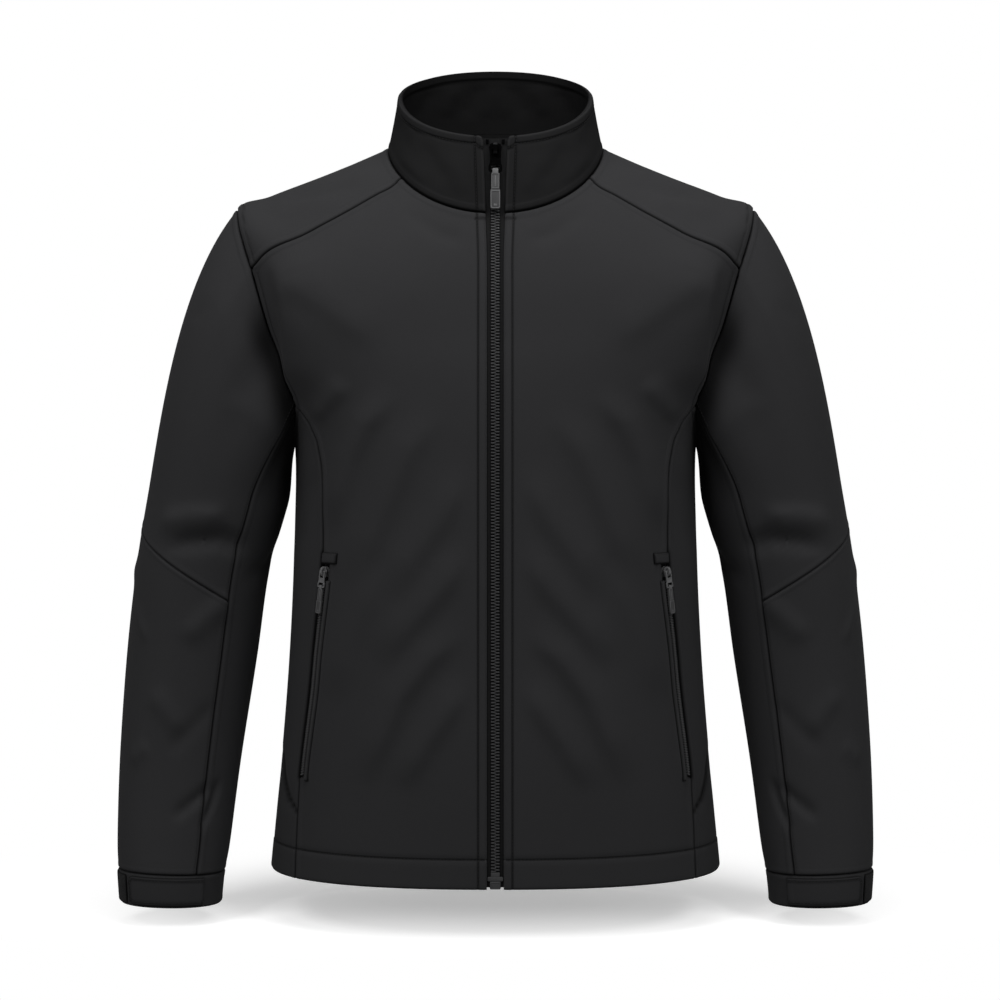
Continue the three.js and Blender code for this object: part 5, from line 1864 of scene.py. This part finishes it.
@dataclass
class Fittings:
    """The sliders, pulls, pullers, stops and box."""

    ease: float = 0.22
    metal: tuple[str, ...] = ("zip_slider", "zip_pull", "zip_stop_r", "zip_stop_l", "pocket_slider_r",
                              "pocket_slider_l", "pocket_pull_r", "pocket_pull_l")
    slider_path: float = 11.65
    below_path: float = 11.35
    box_path: float = 0.1
    pocket_station: float = 2.78
    pocket_below: float = 2.5
    pocket_raise: float = 1.2
    pocket_scale: float = 0.68
    pocket_ease: float = 0.7
    border_from: float = 3.5
    border_height: float = 0.5

    def _puller(self) -> Pattern:
        """The moulded puller: a narrow neck, a wider grip and raised borders on both."""
        half, grip, step, end = 3.7, 4.4, -38.0, -56.0
        body = [(-2.9, -22.6), (-half, -23.8), (-half, step + 1.0), (-grip, step - 1.0), (-grip, end + 1.5),
                (1.4 - grip, end), (grip - 1.4, end), (grip, end + 1.5), (grip, step - 1.0),
                (half, step + 1.0),
                (half, -23.8), (2.9, -22.6)]
        return join_patterns((
            pressed_plate(body, 0.7, 3.6, 0.3),
            pressed_plate(rectangle(2.6, -24.0, -18.4, 0.7), 0.7, 4.1, 0.35),
            frame_pattern(rectangle(3.45, -37.2, -23.2, 0.5), 0.75, 3.4, 4.1),
            frame_pattern(rectangle(4.15, -55.5, -38.9, 0.9), 0.9, 3.4, 4.1),
            pressed_plate(rectangle(0.55, -35.4, -25.0, 0.2), 3.4, 4.0, 0.15),
            pressed_plate(rectangle(1.5, -53.4, -51.2, 0.5), 3.4, 3.9, 0.15),
        ))

    def _box(self) -> Pattern:
        """The box and pin at the foot of the zip."""
        return join_patterns((
            pressed_plate(rectangle(4.7, -9.4, -2.4, 0.6), -3.8, -0.3, 0.35),
            pressed_plate(rectangle(6.7, -2.2, 1.6, 0.7), -2.0, -0.3, 0.35),
            pressed_plate(rectangle(3.9, 1.4, 5.4, 0.5), -3.4, -0.5, 0.3),
            frame_pattern(rectangle(4.2, -8.9, -2.9, 0.5), 0.7, -0.6, 0.0),
        ))

    def _seats(self) -> dict[str, tuple[Grid, Grid, float]]:
        """Origin, axes and scale of the main slider, the box and the viewer's right pocket's slider."""
        seats = {}
        for name, path, below in (("main", self.slider_path, self.below_path), ("box", self.box_path, -1.0)):
            point, way = (v * MIDDLE for v in zip_line(path, NEAR_MIDDLE))
            other = zip_line(below if below > 0 else path + 0.3, NEAR_MIDDLE)[0] * MIDDLE
            seats[name] = (*frame_on(point, point - other if below > 0 else other - point, way), 1.0)
        stations = np.array([self.pocket_station, self.pocket_below])
        phi = POCKET.zip_phi(stations, np.zeros(2))
        points, way = Torso.skin(phi, stations), Torso.away(phi[:1], stations[:1])[0]
        seat = frame_on(points[0] + way * self.pocket_raise, points[0] - points[1], way)
        seats["pocket"] = (*seat, self.pocket_scale)
        return seats

    def _place(self, name: str, pattern: Pattern, seat: tuple[Grid, Grid, float], side: Side,
               material: bpy.types.Material) -> bpy.types.Object:
        """Makes one fitting from its form, with a painted highlight on any raised borders.

        Args:
            name: the piece's name.
            pattern: the form.
            seat: its origin, axes and scale on the viewer's right half.
            side: the half that it is for.
            material: its finish.

        Returns:
            The object.
        """
        origin, axes, scale = seat
        placed = pattern.repeat(origin, axes * scale)
        if side is Side.LEFT:
            placed = placed.flipped()
        # Painted highlight: the part of the form above border_from is painted lighter, for the light on a
        # puller's raised borders.
        raised = -np.clip((pattern.verts[:, 2] - self.border_from) / self.border_height, 0, 1)
        return placed.make(name, material, shade=raised)

    def dress(self, nodes: dict[str, bpy.types.Object], metal: bpy.types.Material, satin: bpy.types.Material,
              moulded: bpy.types.Material, rubber: bpy.types.Material) -> None:
        """Finishes the metal parts, and makes the moulded ones.

        Args:
            nodes: the frame's own solids.
            metal: finish of the main slider, its pull and the stops.
            satin: finish of the pockets' sliders and pulls.
            moulded: finish of the box.
            rubber: finish of the pullers.
        """
        for name in self.metal:
            node, small = nodes[name], name.startswith("pocket")
            node.data.materials.clear()
            node.data.materials.append(satin if small else metal)
            bevel = node.modifiers.new("eased_edges", "BEVEL")
            bevel.width = self.ease * MM * (self.pocket_ease if small else 1.0)
            bevel.segments = 2
            bevel.limit_method = "ANGLE"
            bevel.angle_limit = math.radians(35)
            bevel.harden_normals = True
            LOG.info("%s: carried over", name)
        seats = self._seats()
        box = self._place("zip_foot_box", self._box(), seats["box"], Side.RIGHT, moulded)
        settle(box, "moulded_zip", "zip_box")
        pullers = (("zip_puller", "main", "main_pull", Side.RIGHT),
                   ("pocket_puller_r", "pocket", "pocket_pull_right", Side.RIGHT),
                   ("pocket_puller_l", "pocket", "pocket_pull_left", Side.LEFT))
        for node, seat, body, side in pullers:
            made = self._place(f"{node}_grip", self._puller(), seats[seat], side, rubber)
            settle(made, "moulded_zip", node, body=body)


Tone = tuple[float, float, float]
Colour = tuple[float, float, float, float]
Sockets = bpy.types.bpy_prop_collection


class Socket(Enum):
    """Kinds of group sockets."""

    NUMBER = "NodeSocketFloat"
    COLOUR = "NodeSocketColor"
    VECTOR = "NodeSocketVector"


class NodeSheet:
    """A node tree with short ways to add and join nodes."""

    def __init__(self, tree: bpy.types.NodeTree) -> None:
        """Args:
        tree: the tree to work on.
        """
        self.tree = tree

    def fill(self, node: bpy.types.Node, values: dict[str | int, object]) -> bpy.types.Node:
        """Joins or sets inputs of a node.

        Args:
            node: the node.
            values: a socket to join, or a value to set, for each input's name or number.

        Returns:
            The node.
        """
        for key, value in values.items():
            if isinstance(value, bpy.types.NodeSocket):
                self.tree.links.new(value, node.inputs[key])
            else:
                node.inputs[key].default_value = value
        return node

    def add(self, kind: str, values: dict[str | int, object] | None = None,
            **settings: object) -> bpy.types.Node:
        """Adds a node.

        Args:
            kind: the node's type.
            values: its inputs, as fill takes them.
            settings: its properties.

        Returns:
            The node.
        """
        node = self.tree.nodes.new(kind)
        for name, value in settings.items():
            setattr(node, name, value)
        return self.fill(node, values or {})

    def maths(self, operation: str, *terms: object) -> bpy.types.NodeSocket:
        """The result of a Math node over sockets or numbers."""
        return self.add("ShaderNodeMath", dict(enumerate(terms)), operation=operation).outputs[0]

    def blend(self, share: object, a: object, b: object) -> bpy.types.NodeSocket:
        """A colour that is a where the share is 0 and b where it is 1."""
        return self.add("ShaderNodeMix", {0: share, 6: a, 7: b}, data_type="RGBA").outputs[2]

    def noise(self, vector: bpy.types.NodeSocket, scale: object, detail: float) -> bpy.types.NodeSocket:
        """Noise from 0 to 1 over a vector."""
        values = {"Vector": vector, "Scale": scale, "Detail": detail}
        return self.add("ShaderNodeTexNoise", values).outputs["Fac"]

    def between(self, value: bpy.types.NodeSocket) -> bpy.types.NodeSocket:
        """A value held between 0 and 1."""
        return self.maths("MINIMUM", self.maths("MAXIMUM", value, 0.0), 1.0)


def new_group(name: str, inputs: Sequence[tuple[str, Socket, object]], outputs: Sequence[tuple[str, Socket]]
              ) -> tuple[bpy.types.NodeTree, NodeSheet, Sockets, bpy.types.Node]:
    """Starts a shader node group.

    Args:
        name: the group's name.
        inputs: name, kind and default of each input.
        outputs: name and kind of each output.

    Returns:
        The group, its sheet, what it is given and the node that it puts out by.
    """
    tree = bpy.data.node_groups.new(name, "ShaderNodeTree")
    for label, kind, value in inputs:
        socket = tree.interface.new_socket(name=label, in_out="INPUT", socket_type=kind.value)
        if value is not None:
            socket.default_value = value
    for label, kind in outputs:
        tree.interface.new_socket(name=label, in_out="OUTPUT", socket_type=kind.value)
    sheet = NodeSheet(tree)
    return tree, sheet, sheet.add("NodeGroupInput").outputs, sheet.add("NodeGroupOutput")


class Effects:
    """Shader node groups that more than one finish uses."""

    def __init__(self) -> None:
        """Builds each group once."""
        self.weave = self._weave()
        self.mottle = self._mottle()
        self.edges = self._edges()

    @staticmethod
    def _edges() -> bpy.types.NodeTree:
        """Painted shade that darkens cloth in seams and along stitches, and a painted highlight that lightens
        rolled edges and raised borders.
        """
        tree, sheet, given, out = new_group(
            "painted_shade_and_highlight",
            (("Colour", Socket.COLOUR, (0.01, 0.01, 0.01, 1)), ("Shade", Socket.NUMBER, 0.0),
             ("Sunk", Socket.COLOUR, (0.001, 0.001, 0.001, 1)),
             ("Raised", Socket.COLOUR, (0.05, 0.05, 0.05, 1))),
            (("Colour", Socket.COLOUR),),
        )
        sunk = sheet.between(given["Shade"])
        raised = sheet.between(sheet.maths("MULTIPLY", given["Shade"], -1.0))
        darker = sheet.blend(sunk, given["Colour"], given["Sunk"])
        sheet.fill(out, {"Colour": sheet.blend(raised, darker, given["Raised"])})
        return tree

    @staticmethod
    def _weave() -> bpy.types.NodeTree:
        """Woven threads from the cut's own coordinates: a height and a mask of the gaps."""
        tree, sheet, given, out = new_group(
            "woven_threads",
            (("Cut", Socket.VECTOR, None), ("Threads per Metre", Socket.NUMBER, 1500.0),
             ("Slub", Socket.NUMBER, 0.35)),
            (("Height", Socket.NUMBER), ("Gaps", Socket.NUMBER)),
        )
        split = sheet.add("ShaderNodeSeparateXYZ", {0: given["Cut"]}).outputs
        turns = sheet.maths("MULTIPLY", given["Threads per Metre"], math.pi)
        diagonal = sheet.maths("ADD", split[0], split[1])
        warp, weft, twill = (sheet.maths("SINE", sheet.maths("MULTIPLY", way, turns))
                             for way in (split[0], split[1], diagonal))
        cross = sheet.maths("ABSOLUTE", sheet.maths("MULTIPLY", warp, weft))
        woven = sheet.maths("ADD", sheet.maths("MULTIPLY", cross, 0.6), sheet.maths("MULTIPLY", twill, 0.2))
        slubs = sheet.maths("MULTIPLY", sheet.noise(given["Cut"], 420.0, 2.0), given["Slub"])
        height, gaps = sheet.maths("ADD", woven, slubs), sheet.maths("SUBTRACT", 1.0, cross)
        sheet.fill(out, {"Height": height, "Gaps": gaps})
        return tree

    @staticmethod
    def _mottle() -> bpy.types.NodeTree:
        """Slow and fine changes of tone over the surface."""
        tree, sheet, given, out = new_group(
            "mottled_tone",
            (("Place", Socket.VECTOR, None), ("Broad", Socket.NUMBER, 9.0), ("Fine", Socket.NUMBER, 900.0),
             ("Amount", Socket.NUMBER, 0.5), ("Dark", Socket.COLOUR, (0.01, 0.01, 0.01, 1)),
             ("Light", Socket.COLOUR, (0.02, 0.02, 0.02, 1))),
            (("Colour", Socket.COLOUR), ("Mask", Socket.NUMBER)),
        )
        halves = [sheet.maths("MULTIPLY", sheet.noise(given["Place"], given[label], detail), 0.5)
                  for label, detail in (("Broad", 4.0), ("Fine", 2.0))]
        centred = sheet.maths("SUBTRACT", sheet.maths("ADD", *halves), 0.5)
        centred = sheet.maths("MULTIPLY", centred, given["Amount"])
        mask = sheet.maths("ADD", sheet.maths("MULTIPLY", centred, 2.4), 0.5)
        held = sheet.add("ShaderNodeClamp", {0: mask}).outputs[0]
        sheet.fill(out, {"Colour": sheet.blend(held, given["Dark"], given["Light"]), "Mask": held})
        return tree

    def surface(self, sheet: NodeSheet, shader: bpy.types.Node, colour: bpy.types.NodeSocket,
                tints: dict[str, Colour], relief: dict[str, object], roughness: bpy.types.NodeSocket) -> None:
        """Joins the last steps of a finish to its shader.

        Args:
            sheet: the material's sheet.
            shader: its shader.
            colour: the colour before the painted shade of seams and the painted highlight of edges.
            tints: the painted shade and painted highlight colours, by the group's inputs' names.
            relief: the Bump node's inputs by name.
            roughness: the roughness.
        """
        shade = sheet.add("ShaderNodeAttribute", attribute_name="shade").outputs["Fac"]
        edges = sheet.add("ShaderNodeGroup", node_tree=self.edges)
        sheet.fill(edges, {"Colour": colour, "Shade": shade, **tints})
        bump = sheet.add("ShaderNodeBump", relief)
        results = {"Base Color": edges.outputs[0], "Roughness": roughness, "Normal": bump.outputs[0]}
        sheet.fill(shader, results)


@dataclass(frozen=True)
class Finish:
    """What every finish has: its name and the two tones that it is mottled between."""

    name: str
    dark: Tone
    light: Tone

    @staticmethod
    def colour(tone: Tone, share: float = 1.0) -> Colour:
        """A tone, or a share of it, as an opaque colour."""
        return (*(part * share for part in tone), 1.0)

    def start(self, effects: Effects) -> tuple[bpy.types.Material, NodeSheet, bpy.types.Node, bpy.types.Node]:
        """Starts the material.

        Args:
            effects: the shared groups.

        Returns:
            The material, its sheet, its shader and its mottled tone.
        """
        material = bpy.data.materials.new(self.name)
        material.use_nodes = True
        sheet = NodeSheet(material.node_tree)
        tone = sheet.add("ShaderNodeGroup", node_tree=effects.mottle)
        place = sheet.add("ShaderNodeTexCoord").outputs["Object"]
        sheet.fill(tone, {"Place": place, "Dark": self.colour(self.dark), "Light": self.colour(self.light)})
        return material, sheet, material.node_tree.nodes["Principled BSDF"], tone


@dataclass(frozen=True)
class ClothFinish(Finish):
    """Closely woven, matte, dyed cloth."""

    threads: float = 1500.0
    relief: float = 0.00006
    roughness: float = 0.82
    specular: float = 0.07
    sheen: float = 0.015
    sheen_roughness: float = 0.45
    amount: float = 0.6

    def build(self, effects: Effects) -> bpy.types.Material:
        """Makes the material.

        Args:
            effects: the shared groups.

        Returns:
            The material.
        """
        material, sheet, shader, tone = self.start(effects)
        shader.inputs["Specular IOR Level"].default_value = self.specular
        shader.inputs["Sheen Weight"].default_value = self.sheen
        shader.inputs["Sheen Roughness"].default_value = self.sheen_roughness
        tone.inputs["Amount"].default_value = self.amount
        weave = sheet.add("ShaderNodeGroup", node_tree=effects.weave)
        cut = sheet.add("ShaderNodeUVMap", uv_map="cut").outputs[0]
        sheet.fill(weave, {"Cut": cut, "Threads per Metre": self.threads})
        gaps = sheet.maths("MULTIPLY", weave.outputs["Gaps"], 0.35)
        colour = sheet.blend(gaps, tone.outputs["Colour"], self.colour(self.dark, 0.45))
        polish = sheet.maths("MULTIPLY", tone.outputs["Mask"], -0.08)
        rough = sheet.maths("ADD", polish, self.roughness + 0.04)
        # Sunk is the painted shade colour of seams and stitch dips, Raised the painted highlight colour of
        # rolled edges.
        tints = {"Sunk": self.colour(self.dark, 0.06), "Raised": self.colour(self.light, 2.4)}
        relief = {"Strength": 0.6, "Distance": self.relief, "Height": weave.outputs["Height"]}
        effects.surface(sheet, shader, colour, tints, relief, rough)
        return material


@dataclass(frozen=True)
class HardFinish(Finish):
    """Metal, moulded plastic or rubber, with a fine grain and a painted highlight on raised borders."""

    roughness: float
    metallic: float = 0.0
    grain: float = 2500.0
    relief: float = 0.00003
    specular: float = 0.5

    def build(self, effects: Effects) -> bpy.types.Material:
        """Makes the material.

        Args:
            effects: the shared groups.

        Returns:
            The material.
        """
        material, sheet, shader, tone = self.start(effects)
        shader.inputs["Metallic"].default_value = self.metallic
        shader.inputs["Specular IOR Level"].default_value = self.specular
        sheet.fill(tone, {"Broad": 260.0, "Fine": self.grain})
        mask = tone.outputs["Mask"]
        rough = sheet.maths("ADD", sheet.maths("MULTIPLY", mask, 0.16), self.roughness - 0.08)
        # Raised is the painted highlight colour of the pullers' raised borders.
        tints = {"Raised": self.colour(self.light, 2.2)}
        relief = {"Strength": 0.5, "Distance": self.relief, "Height": mask}
        effects.surface(sheet, shader, tone.outputs["Colour"], tints, relief, rough)
        return material


FINISHES = (
    ClothFinish("shell_cloth", (0.0225, 0.0225, 0.0235), (0.0285, 0.0285, 0.03)),
    ClothFinish("collar_cloth", (0.0088, 0.0088, 0.0091), (0.0138, 0.0138, 0.0142),
                sheen=0.005, specular=0.05),
    ClothFinish("collar_lining", (0.003, 0.003, 0.0031), (0.007, 0.007, 0.0072), 1000.0, 0.0001,
                sheen=0.005, specular=0.05),
    ClothFinish("welt_cloth", (0.022, 0.022, 0.023), (0.04, 0.04, 0.041), 900.0, 0.00014, amount=1.2),
    ClothFinish("tape_cloth", (0.006, 0.006, 0.0062), (0.01, 0.01, 0.0105), 1100.0, 0.00012),
    ClothFinish("looped_pile", (0.009, 0.009, 0.0093), (0.03, 0.03, 0.031), 900.0, 0.0003, amount=1.6),
    ClothFinish("thread", (0.014, 0.014, 0.0145), (0.022, 0.022, 0.023), 2200.0, 0.00003,
                roughness=0.7, specular=0.15),
    HardFinish("moulded_teeth", (0.03, 0.03, 0.031), (0.055, 0.055, 0.056), 0.34, specular=0.12),
    HardFinish("black_nickel", (0.008, 0.008, 0.0085), (0.017, 0.017, 0.0177), 0.2, metallic=1.0),
    HardFinish("satin_nickel", (0.09, 0.09, 0.092), (0.15, 0.15, 0.153), 0.3, metallic=0.3, specular=0.3),
    # The pocket teeth are painted lighter than the main zip's teeth, so that they show in the shade of the
    # pocket slot.
    HardFinish("pocket_teeth", (0.045, 0.045, 0.046), (0.075, 0.075, 0.077), 0.4, specular=0.12),
    HardFinish("moulded_puller", (0.03, 0.03, 0.031), (0.045, 0.045, 0.046), 0.45, specular=0.12),
)


@dataclass
class Studio:
    """The pale floor, the soft lights and the camera."""

    floor_z: float = -0.705
    floor_size: float = 30.0
    camera_place: tuple[float, float, float] = (0.00414, -2.6, -0.212)
    camera_tilt: float = 2.4313
    lens: float = 101.83
    sensor: float = 36.0
    room: float = 0.055
    floor_glow: float = 0.4
    floor_bounce: float = 0.3
    pool_near: float = 0.07
    pool_far: float = 0.33
    pool_back: float = 0.12
    pool_wide: float = 0.52

    def build(self) -> None:
        """Makes the floor, the lights and the camera."""
        self._camera()
        self._floor()
        self._lights()

    def _camera(self) -> None:
        """The camera, level with the chest and tilted a little down."""
        data = bpy.data.cameras.new("camera")
        data.lens, data.sensor_width, data.sensor_fit = self.lens, self.sensor, "HORIZONTAL"
        data.clip_end = 100.0
        camera = bpy.data.objects.new("camera", data)
        camera.location = self.camera_place
        camera.rotation_euler = (math.radians(90 - self.camera_tilt), 0, 0)
        bpy.context.scene.collection.objects.link(camera)
        bpy.context.scene.camera = camera

    def _floor(self) -> None:
        """The floor: lit and glowing a little near the garment, a painted light that lightens its shadow, and
        glowing plain white further off; dimmer as a source of bounced light.
        """
        half = self.floor_size / 2
        corners = np.array([[-half, -half, 0], [half, -half, 0], [half, half, 0], [-half, half, 0]], float)
        material = bpy.data.materials.new("pale_floor")
        material.use_nodes = True
        sheet = NodeSheet(material.node_tree)
        material.node_tree.nodes.remove(material.node_tree.nodes["Principled BSDF"])
        lit = sheet.add("ShaderNodeBsdfDiffuse", {"Color": (0.95, 0.95, 0.95, 1)}).outputs[0]
        # Painted light: a glow added to the lit floor near the garment, which lightens its shadow.
        glow = sheet.add("ShaderNodeEmission", {"Strength": self.floor_glow}).outputs[0]
        pool = sheet.add("ShaderNodeAddShader", {0: lit, 1: glow}).outputs[0]
        place = sheet.add("ShaderNodeTexCoord").outputs["Object"]
        squash = {0: place, 1: (self.pool_wide, 1.0, 1.0), 2: (0.0, -self.pool_back, 0.0)}
        shift = sheet.add("ShaderNodeVectorMath", operation="MULTIPLY_ADD")
        reach = sheet.add("ShaderNodeVectorMath", operation="LENGTH")
        sheet.fill(reach, {0: sheet.fill(shift, squash).outputs[0]})
        fade = sheet.add("ShaderNodeMapRange", interpolation_type="SMOOTHSTEP")
        ends = {"From Min": self.pool_near, "From Max": self.pool_far}
        sheet.fill(fade, {"Value": reach.outputs["Value"]} | ends)
        white = sheet.add("ShaderNodeEmission").outputs[0]
        seen = sheet.add("ShaderNodeMixShader", {0: fade.outputs["Result"], 1: pool, 2: white}).outputs[0]
        bounce = sheet.add("ShaderNodeBsdfDiffuse", {"Color": (self.floor_bounce,) * 3 + (1,)}).outputs[0]
        camera_ray = sheet.add("ShaderNodeLightPath").outputs["Is Camera Ray"]
        mixed = sheet.add("ShaderNodeMixShader", {0: camera_ray, 1: bounce, 2: seen}).outputs[0]
        sheet.fill(material.node_tree.nodes["Material Output"], {"Surface": mixed})
        floor = make_mesh("floor", corners, [[0, 1, 2, 3]], material)
        floor.location.z = self.floor_z

    def _lights(self) -> None:
        """The white room and the soft lamps."""
        scene = bpy.context.scene
        scene.view_settings.view_transform = "Standard"
        world = bpy.data.worlds.new("white_room")
        world.use_nodes = True
        sheet = NodeSheet(world.node_tree)
        camera_ray = sheet.add("ShaderNodeLightPath").outputs["Is Camera Ray"]
        strength = sheet.maths("ADD", sheet.maths("MULTIPLY", camera_ray, 1 - self.room), self.room)
        sheet.fill(world.node_tree.nodes["Background"], {"Color": (1, 1, 1, 1), "Strength": strength})
        scene.world = world
        self._lamp("overhead", (0.0, -0.5, 1.6), (0.0, 0.0, -0.3), 1.5, 30.0)
        for name, half in (("left", -1), ("right", 1)):
            self._lamp(f"front_{name}", (half * 1.5, -1.9, 1.75), (0.0, 0.0, -0.35), 1.2, 42.0)
            self._lamp(f"{name}_wall", (half * 2.2, -0.4, 0.1), (half * 0.2, 0.0, -0.35), 0.8, 5.0)

    @staticmethod
    def _lamp(name: str, place: Sequence[float], aim: Sequence[float], size: float, power: float) -> None:
        """Adds a square soft lamp.

        Args:
            name: its name.
            place: where it hangs.
            aim: the point that it faces.
            size: its side in metres.
            power: watts.
        """
        data = bpy.data.lights.new(name, "AREA")
        data.size, data.energy = size, power
        lamp = bpy.data.objects.new(name, data)
        lamp.location = place
        lamp.rotation_mode = "QUATERNION"
        lamp.rotation_quaternion = (Vector(aim) - Vector(place)).to_track_quat("-Z", "Y")
        bpy.context.scene.collection.objects.link(lamp)


def front_line(path: Sequence[tuple[float, float]]) -> tuple[Grid, Grid]:
    """A smooth line on the torso's front through x and z pairs.

    Args:
        path: x and z of its points.

    Returns:
        Points and outward directions.
    """
    phi, s = np.meshgrid(np.linspace(-80, -1, 320), np.linspace(0.2, 3.5, 320), indexing="ij")
    skin = Torso.skin(phi, s)
    gaps = (np.hypot(skin[..., 0] - x, skin[..., 2] - z) for x, z in path)
    near = [np.unravel_index(np.argmin(gap), phi.shape) for gap in gaps]
    knots = np.array([(phi[i], s[i]) for i in near])
    at, fine = np.arange(len(knots)), np.linspace(0, len(knots) - 1, 60)
    line_phi, line_s = (np.interp(fine, at, knots[:, c]) for c in (0, 1))
    return Torso.skin(line_phi, line_s), Torso.away(line_phi, line_s)


def sew_all(torso: TorsoPanels, collar: Collar, sleeves: SleevePair, cuffs: CuffTabs,
            pockets: SidePockets) -> Sewing:
    """Lays out every visible run of thread.

    Args:
        torso: the torso's panels.
        collar: the collar.
        sleeves: the sleeves.
        cuffs: the cuff tabs.
        pockets: the side pockets.

    Returns:
        The runs.
    """
    sewing = Sewing()
    on_torso = (
        ("fronts", "front", "placket", PLACKET_EDGE.stitch_at), ("hem", "front", "hem", HEM_EDGE.stitch_at),
        ("armholes", "front", "armhole", ARMHOLE_SEAM.stitch_at), ("sides", "front", "side", SIDE_STITCH),
        ("hem", "side", "hem", HEM_EDGE.stitch_at), ("armholes", "yoke", "armhole", ARMHOLE_SEAM.stitch_at),
        ("hem", "back", "hem", HEM_EDGE.stitch_at), ("armholes", "back", "armhole_r", ARMHOLE_SEAM.stitch_at),
    )
    for group, panel, border, distance in on_torso:
        line = torso.shells[panel].line(torso.borders[panel][border], distance)
        sewing.add(f"stitching_{group}", line, both=(panel, border) != ("back", "hem"))
    sewing.add("stitching_sides", front_line(SIDE_CURVE))
    for edge in (Edge.RIGHT, Edge.FIRST, Edge.LAST):
        line = collar.shells["outer"].line(Border(edge), COLLAR_EDGE.stitch_at)
        sewing.add("stitching_collar", line, both=False)
    for kind in ("upper", "forearm"):
        for edge in (Edge.LEFT, Edge.RIGHT):
            sewing.add("stitching_sleeves", sleeves.shells[kind].line(Border(edge), SLEEVE_SEAM.stitch_at))
    for edge in (Edge.LEFT, Edge.FIRST, Edge.LAST):
        sewing.add("stitching_cuffs", cuffs.tab.line(Border(edge), TAB_EDGE.stitch_at))
    sewing.add("stitching_pockets", pockets.welt.line(Border(Edge.LEFT), WELT_STITCH))
    for edge in Edge:
        sewing.add("stitching_pockets", pockets.tab.line(Border(edge), SIDE_STITCH, trim=0.6))
    return sewing


def main() -> None:
    """Builds the jacket and its studio."""
    logging.basicConfig(level=logging.INFO, format="%(name)s: %(message)s")
    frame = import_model()
    studio = Studio()
    studio.build()
    effects = Effects()
    made = {finish.name: finish.build(effects) for finish in FINISHES}
    shell_cloth, tape_cloth = made["shell_cloth"], made["tape_cloth"]
    torso, collar, sleeves, cuffs, pockets = TorsoPanels(), Collar(), SleevePair(), CuffTabs(), SidePockets()
    for part in (torso, collar, sleeves, cuffs, pockets):
        part.shape()
    torso.dress(shell_cloth)
    collar.dress(made["collar_cloth"], made["collar_lining"])
    sleeves.dress(shell_cloth)
    cuffs.dress(shell_cloth, made["looped_pile"])
    pockets.dress(shell_cloth, made["welt_cloth"], tape_cloth, made["pocket_teeth"])
    MainZip().dress(tape_cloth, made["moulded_teeth"])
    hard = (made[name] for name in ("black_nickel", "satin_nickel", "moulded_teeth", "moulded_puller"))
    Fittings().dress(frame["nodes"], *hard)
    sew_all(torso, collar, sleeves, cuffs, pockets).build(made["thread"])


if __name__ == "__main__":
    main()
